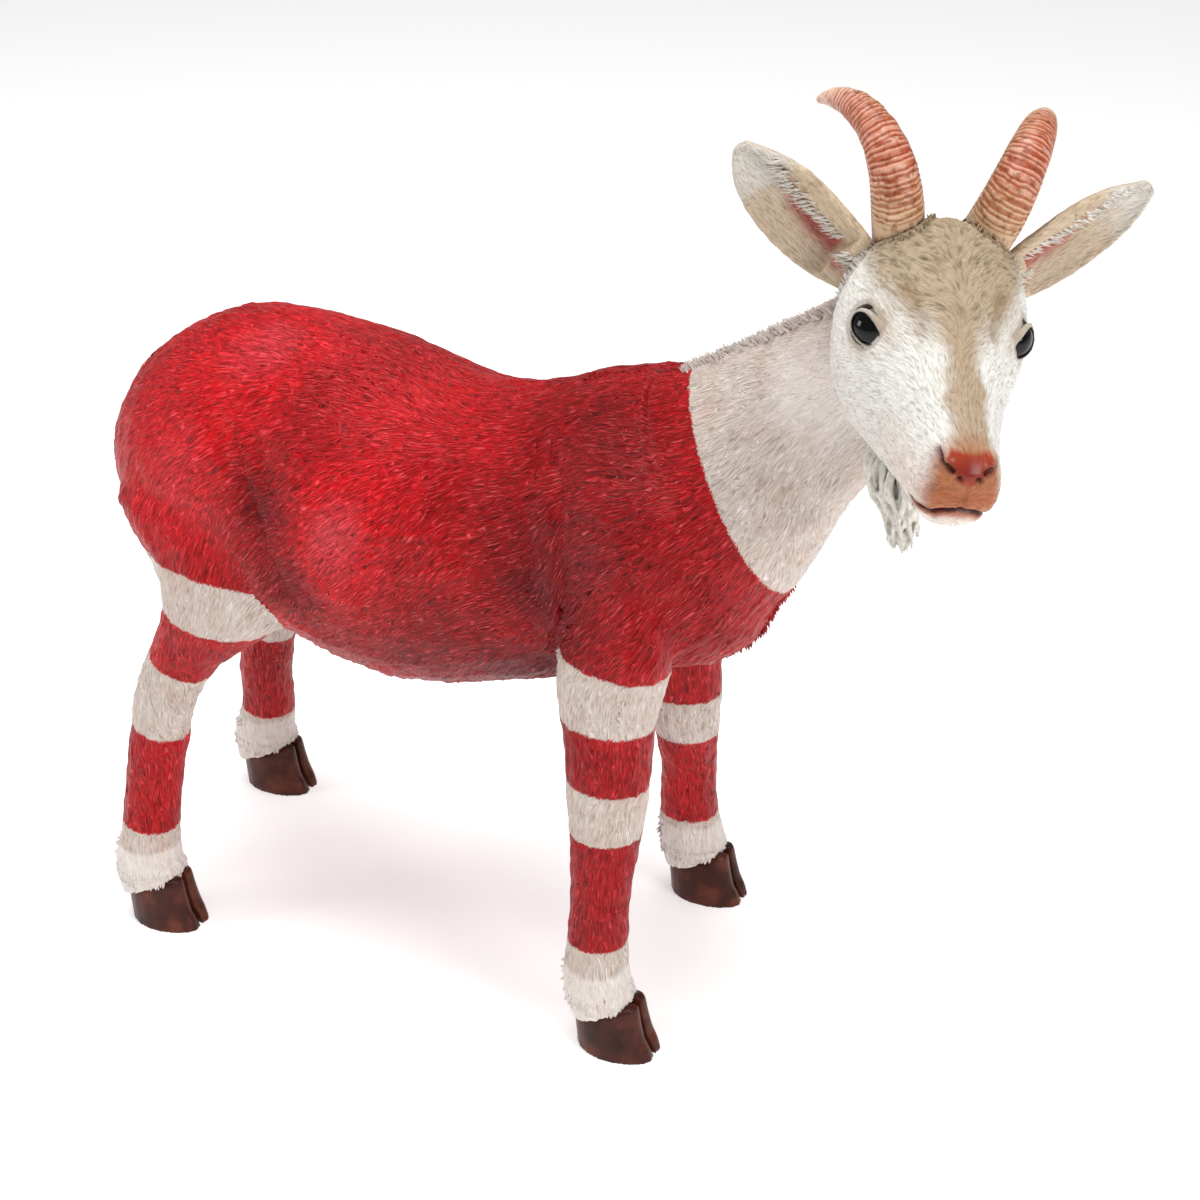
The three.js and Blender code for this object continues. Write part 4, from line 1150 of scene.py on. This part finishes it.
EAR_ROOT = np.array((-50.0, 50.0, 2.0))
EAR_RUN = 124 * np.array(
    ((0.0, -0.06, -0.02), (-0.08, 0.14, 0.09), (-0.17, 0.34, 0.21),
     (-0.24, 0.53, 0.35), (-0.28, 0.67, 0.47), (-0.30, 0.77, 0.57))
)
EAR_GRAIN = 0.0012
for side, name in ((-1, "right_ear"), (1, "left_ear")):
    ear_points, ear_faces, ear_pairs = soft_skin(clay("ear_clay", (name,)), EAR_GRAIN, 0.0, 8)
    ear_normals = normals_of(ear_points, ear_faces)
    line = smooth_line((EAR_ROOT + EAR_RUN) * np.array((1, side, 1)))
    opening = unit(np.array((0.97, 0.1 * side, -0.2)))
    span = unit(line[-1] - line[0])
    upper = np.cross(opening, span) * side
    upper = unit(upper * (1 if upper[2] > 0 else -1))
    spot = in_head(ear_points)
    reach = along_line(spot, line) / 118
    nearest_of = np.array([line[np.abs(line - p).sum(1).argmin()] for p in spot])
    wide_by = ((spot - nearest_of) @ upper) / 30
    level_of = ear_normals @ FACE_AXES.T @ opening
    cup = np.exp(-(((reach - 0.38) / 0.30) ** 2 + ((wide_by + 0.05) / 0.40) ** 2))
    roll = np.exp(-(((wide_by - 0.28) / 0.22) ** 2)) * ramp(-reach, -0.85, -0.4) * (level_of > 0)
    fold = ramp(-wide_by, 0.55, 1.0) * ramp(-reach, -0.8, -0.4)
    shift = opening * (-9.0 * cup + 3.5 * roll + 2.0 * fold)[:, None]
    ear_points = ear_points + (shift / 1000) @ FACE_AXES
    ear_points = spread(ear_points, ear_pairs, 3, 0.5)
    ear_normals = normals_of(ear_points, ear_faces)
    level = ear_normals @ FACE_AXES.T
    inner = ramp(level @ opening, 0.05, 0.45)
    turn = 0.35 * cloud(ear_points, 0.02, 51)
    ear_lay = combed(np.tile(span @ FACE_AXES, (len(spot), 1)), ear_normals, turn)
    strands = comb(ear_points, ear_faces, ear_lay, 13, 6)
    patch = cloud(ear_points, 0.009, 52)
    tufted = inner * ramp(wide_by + 0.1 * patch, -0.15, 0.15) * ramp(reach + 0.1 * patch, 0.45, 0.7)
    lift_by = 0.00015 + 0.0006 * tufted
    ear_points = ear_points + ear_normals * (lift_by * np.clip(strands, -2, 2.5))[:, None]
    ear_normals = normals_of(ear_points, ear_faces)
    tint = np.tile(shade_of("#CDB99F")[:3], (len(spot), 1))
    tint = laid_on(tint, ramp(reach + 0.1 * patch, 0.78, 1.0), "#D3CCC2", 0.7)
    brim = 0.06 + 0.25 * reach + 0.55 * ramp(reach, 0.55, 1.0)
    lining = inner * (1 - ramp(wide_by + 0.08 * patch - brim, -0.05, 0.08))
    tint = laid_on(tint, lining, "#C4B19B", 0.9)
    tint = laid_on(tint, lining * ramp(reach + 0.1 * patch, 0.72, 0.95), "#D2CFC9", 0.9)
    deep = lining * np.exp(-(((reach - 0.42) / 0.34) ** 2 + ((wide_by - brim + 0.22) / 0.34) ** 2))
    tint = laid_on(tint, ramp(deep + 0.12 * patch, 0.12, 0.80), "#B4534F", 0.95)
    tint = spread(tint, ear_pairs, 5)
    part = as_part(ear_points, ear_normals, ear_faces, lay=ear_lay, airbrush=tint, gloss=np.zeros(len(spot)))
    ear_tree = BVHTree.FromPolygons(ear_points.tolist(), ear_faces.tolist())
    roots, tips = [], []
    for _ in range(int(320 * thin)):
        far = chance.uniform(0.10, 0.90)
        rim_at = 0.06 + 0.25 * far + 0.55 * float(ramp(np.array(far), 0.55, 1.0))
        across = upper * 30 * (chance.normal(0.05, 0.09) + rim_at)
        at = line[int(far * (len(line) - 1))] + across + opening * 30
        hit = ear_tree.ray_cast(Vector(in_room(at)), Vector(-opening @ FACE_AXES), 0.08)
        if hit[0] is None:
            continue
        way = unit(span * 0.9 - upper * 0.75 + opening * 0.25 + chance.normal(0, 0.2, 3)) @ FACE_AXES
        root = np.array(hit[0]) - np.array(hit[1]) * 0.001
        roots.append(root)
        tips.append(root + way * chance.uniform(0.006, 0.012))
    count = len(roots)
    hairs = locks(
        np.array(roots), np.array(tips), np.tile(opening @ FACE_AXES * 0.0008, (count, 1)),
        chance.uniform(0.6, 1.1, count) * 0.0008,
        airbrush=np.tile(shade_of("#E6E1DA")[:3], (count, 1)), gloss=np.zeros(count),
    )
    ear = build("cupped_" + name, [part, hairs], ("lay", "airbrush", "gloss"))
    ear.data.materials.append(face_paint)
    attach(ear, "root")
    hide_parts(name)

# ---- Beard: one casting of wavy locks that hangs from the chin ----
# Each lock is a waving tube that tapers to a point, set round the last by the golden turn, and all
# are fused into one casting. The paint is an off-white, with painted shade between the locks.

beard_low, beard_high = (np.array(corner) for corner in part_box("beard"))
beard_middle = (beard_low + beard_high) / 2
beard_top = np.array((beard_middle[0] - 0.002, beard_middle[1] + 0.004, beard_high[2] + 0.004))
beard_end = np.array((beard_middle[0] + 0.004, beard_middle[1] - 0.008, beard_low[2] + 0.002))
LOCK_COUNT = 46
LOCK_TAPER = np.array([0.8, 1, 1.1, 1.15, 1.15, 1.1, 1.05, 1, 0.9, 0.78, 0.62, 0.42, 0.16])
GOLDEN_TURN = 2.39996
BEARD_GRAIN = 0.0009
beard_meshes = bmesh.new()
for k in range(LOCK_COUNT):
    ring = math.sqrt((k + 0.5) / LOCK_COUNT)
    turn = k * GOLDEN_TURN
    out = np.array((math.cos(turn), math.sin(turn), 0.0))
    girth = np.array((0.0225, 0.0235, 0.0)) * ring
    drop = 1.0 - 0.24 * ring * chance.uniform(0.4, 1.0)
    ticks = np.linspace(0, 1, len(LOCK_TAPER))
    wave = chance.uniform(0, math.tau)
    path = []
    for tick in ticks:
        middle = beard_top + (beard_end - beard_top) * tick * drop
        fullness = (0.55 + 0.75 * math.sin(math.pi * min(tick * 1.25 + 0.18, 1))) * (1 - 0.12 * tick)
        curl = 0.0024 * math.sin(wave + tick * 10.5) * tick**0.5
        path.append(middle + out * girth * fullness + np.array((curl, curl * 0.6, 0)))
    width = chance.uniform(0.0019, 0.0031) * LOCK_TAPER
    beard_meshes.from_mesh(tube(path, width, sides=7))
mesh = bpy.data.meshes.new("beard_clay")
beard_meshes.to_mesh(mesh)
beard_meshes.free()
core = clay("beard_core", ("beard",))
for vert in core.data.vertices:
    vert.co = Vector(beard_middle + (np.array(vert.co) - beard_middle) * np.array((0.75, 0.75, 0.72)))
core_mesh = core.data
bpy.data.objects.remove(core)
whole_beard = clay("beard_clay", (), (mesh, core_mesh))
beard_points, beard_faces, beard_pairs = soft_skin(whole_beard, BEARD_GRAIN, 0.0, 2)
beard_normals = normals_of(beard_points, beard_faces)
beard_lay = unit(np.tile((0.06, -0.1, -1.0), (len(beard_points), 1)))
beard_lay = unit(beard_lay - beard_normals * (beard_lay * beard_normals).sum(1)[:, None])
strands = comb(beard_points, beard_faces, beard_lay, 14, 9)
beard_points = beard_points + beard_normals * (0.00022 * np.clip(strands, -2, 2))[:, None]
beard_normals = normals_of(beard_points, beard_faces)
hollow = ((spread(beard_points, beard_pairs, 6, 0.6) - beard_points) * beard_normals).sum(1)
tint = np.tile(shade_of("#DEDCD6")[:3], (len(beard_points), 1))
# painted shade: darker grey where the skin lies in a hollow between locks
tint = laid_on(tint, ramp(hollow, 0.0001, 0.0009), "#A89F92", 0.8)
matt = np.zeros(len(beard_points))
part = as_part(beard_points, beard_normals, beard_faces, lay=beard_lay, airbrush=tint, gloss=matt)
beard_piece = build("wavy_beard", [part], ("lay", "airbrush", "gloss"))
beard_piece.data.materials.append(face_paint)
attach(beard_piece, "root")
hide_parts("beard")

# ---- Hooves: four cloven castings, set under the cuffs ----
# Each is smooth satin enamel in a dark red-brown, with faint growth lines round the wall and a
# rounded toe on each side of the cleft.

# Satin enamel over smooth resin: a low sheen, with a darker and a redder brown drifting across it.
hoof_paint, tree, surface = fresh_material("brown_satin_enamel")
place = add_node(tree, "TexCoord").outputs["Object"]
drift = add_node(tree, "TexNoise", {"Vector": place, "Scale": 45.0, "Detail": 3.0}).outputs["Fac"]
streaks = add_node(tree, "Mapping", {"Vector": place, "Scale": (60.0, 60.0, 420.0)})
streaks = {"Vector": streaks.outputs[0], "Scale": 1.0, "Detail": 2.0}
lines = add_node(tree, "TexNoise", streaks).outputs["Fac"]
brown = colours_along(tree, drift, ((0.3, "#2C110B"), (0.5, "#431C12"), (0.7, "#62301F")))
tree.links.new(brown, surface.inputs["Base Color"])
lift = add_node(tree, "Bump", {"Height": lines, "Distance": 0.0005, "Strength": 0.35})
tree.links.new(lift.outputs[0], surface.inputs["Normal"])
surface.inputs["Roughness"].default_value = 0.33
surface.inputs["Specular IOR Level"].default_value = 0.2
HOOF_GRAIN = 0.0011
for corner in ("front_right", "front_left", "hind_right", "hind_left"):
    name = corner + "_hoof"
    low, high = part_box(name)
    hoof_points, hoof_faces = skin_over(clay("hoof_clay", (name,)), HOOF_GRAIN, 0.0)
    hoof_pairs = edge_pairs(hoof_faces)
    rounding = ramp(hoof_points[:, 2], 0.0015, 0.008)[:, None]
    hoof_points = spread(hoof_points, hoof_pairs, 26, 0.6 * rounding)
    hoof_points[:, 2] = np.maximum(hoof_points[:, 2], low.z)
    middle_y = (low.y + high.y) / 2
    reach = (hoof_points[:, 0] - low.x) / (high.x - low.x)
    beside = np.abs(hoof_points[:, 1] - middle_y)
    toe = ramp(reach, 0.5, 1.0) * (1 - ramp(beside, 0.002, 0.013))
    hoof_points[:, 0] -= 0.004 * toe
    hoof_points[:, 2] -= 0.011 * ramp(reach, 0.66, 1.0) * ramp(hoof_points[:, 2], 0.006, 0.030)
    hoof_points = spread(hoof_points, hoof_pairs, 4, 0.5 * rounding)
    hoof_points[:, 2] = np.maximum(hoof_points[:, 2], low.z)
    hoof_normals = normals_of(hoof_points, hoof_faces)
    hoof = build("cloven_" + name, [as_part(hoof_points, hoof_normals, hoof_faces)], ())
    hoof.data.materials.append(hoof_paint)
    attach(hoof, "root")
    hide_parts(name)

# ---- Inside: steel rods in the legs, and glass cloth over the joints ----
# Rods are cast into the legs, and strips of glass cloth in resin back the torso's seam and the
# neck's joint. They can't be seen from outside.

# Cold-drawn steel rod: a dull grey with fine die marks along it, drawn about 1 mm apart.
rod_steel, tree, surface = fresh_material("drawn_mild_steel")
place = add_node(tree, "TexCoord").outputs["Object"]
drawn = add_node(tree, "Mapping", {"Vector": place, "Scale": (900.0, 900.0, 20.0)})
drawn = {"Vector": drawn.outputs[0], "Scale": 1.0, "Detail": 2.0}
die_marks = add_node(tree, "TexNoise", drawn).outputs["Fac"]
die_marks = colours_along(tree, die_marks, ((0.3, "#6E7073"), (0.7, "#9A9C9E")))
tree.links.new(die_marks, surface.inputs["Base Color"])
surface.inputs["Metallic"].default_value = 1.0
surface.inputs["Roughness"].default_value = 0.45
# Woven glass cloth wetted with resin: a straw yellow with the weave's squares, 2 mm across.
cloth_laminate, tree, surface = fresh_material("glass_cloth_laminate")
place = add_node(tree, "TexCoord").outputs["Object"]
weave = add_node(
    tree, "TexChecker",
    {"Vector": place, "Scale": 500.0, "Color1": shade_of("#C9C3A6"), "Color2": shade_of("#B3AC8C")},
)
tree.links.new(weave.outputs[0], surface.inputs["Base Color"])
surface.inputs["Roughness"].default_value = 0.5
for name, finish, slot in (
    ("front_right_rod", rod_steel, "steel_rod"),
    ("front_left_rod", rod_steel, "steel_rod"),
    ("hind_right_rod", rod_steel, "steel_rod"),
    ("hind_left_rod", rod_steel, "steel_rod"),
    ("neck_joint_collar", cloth_laminate, "laminate"),
    ("torso_seam_tape", cloth_laminate, "laminate"),
):
    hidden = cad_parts[name]
    hidden.data.materials.clear()
    hidden.data.materials.append(finish)
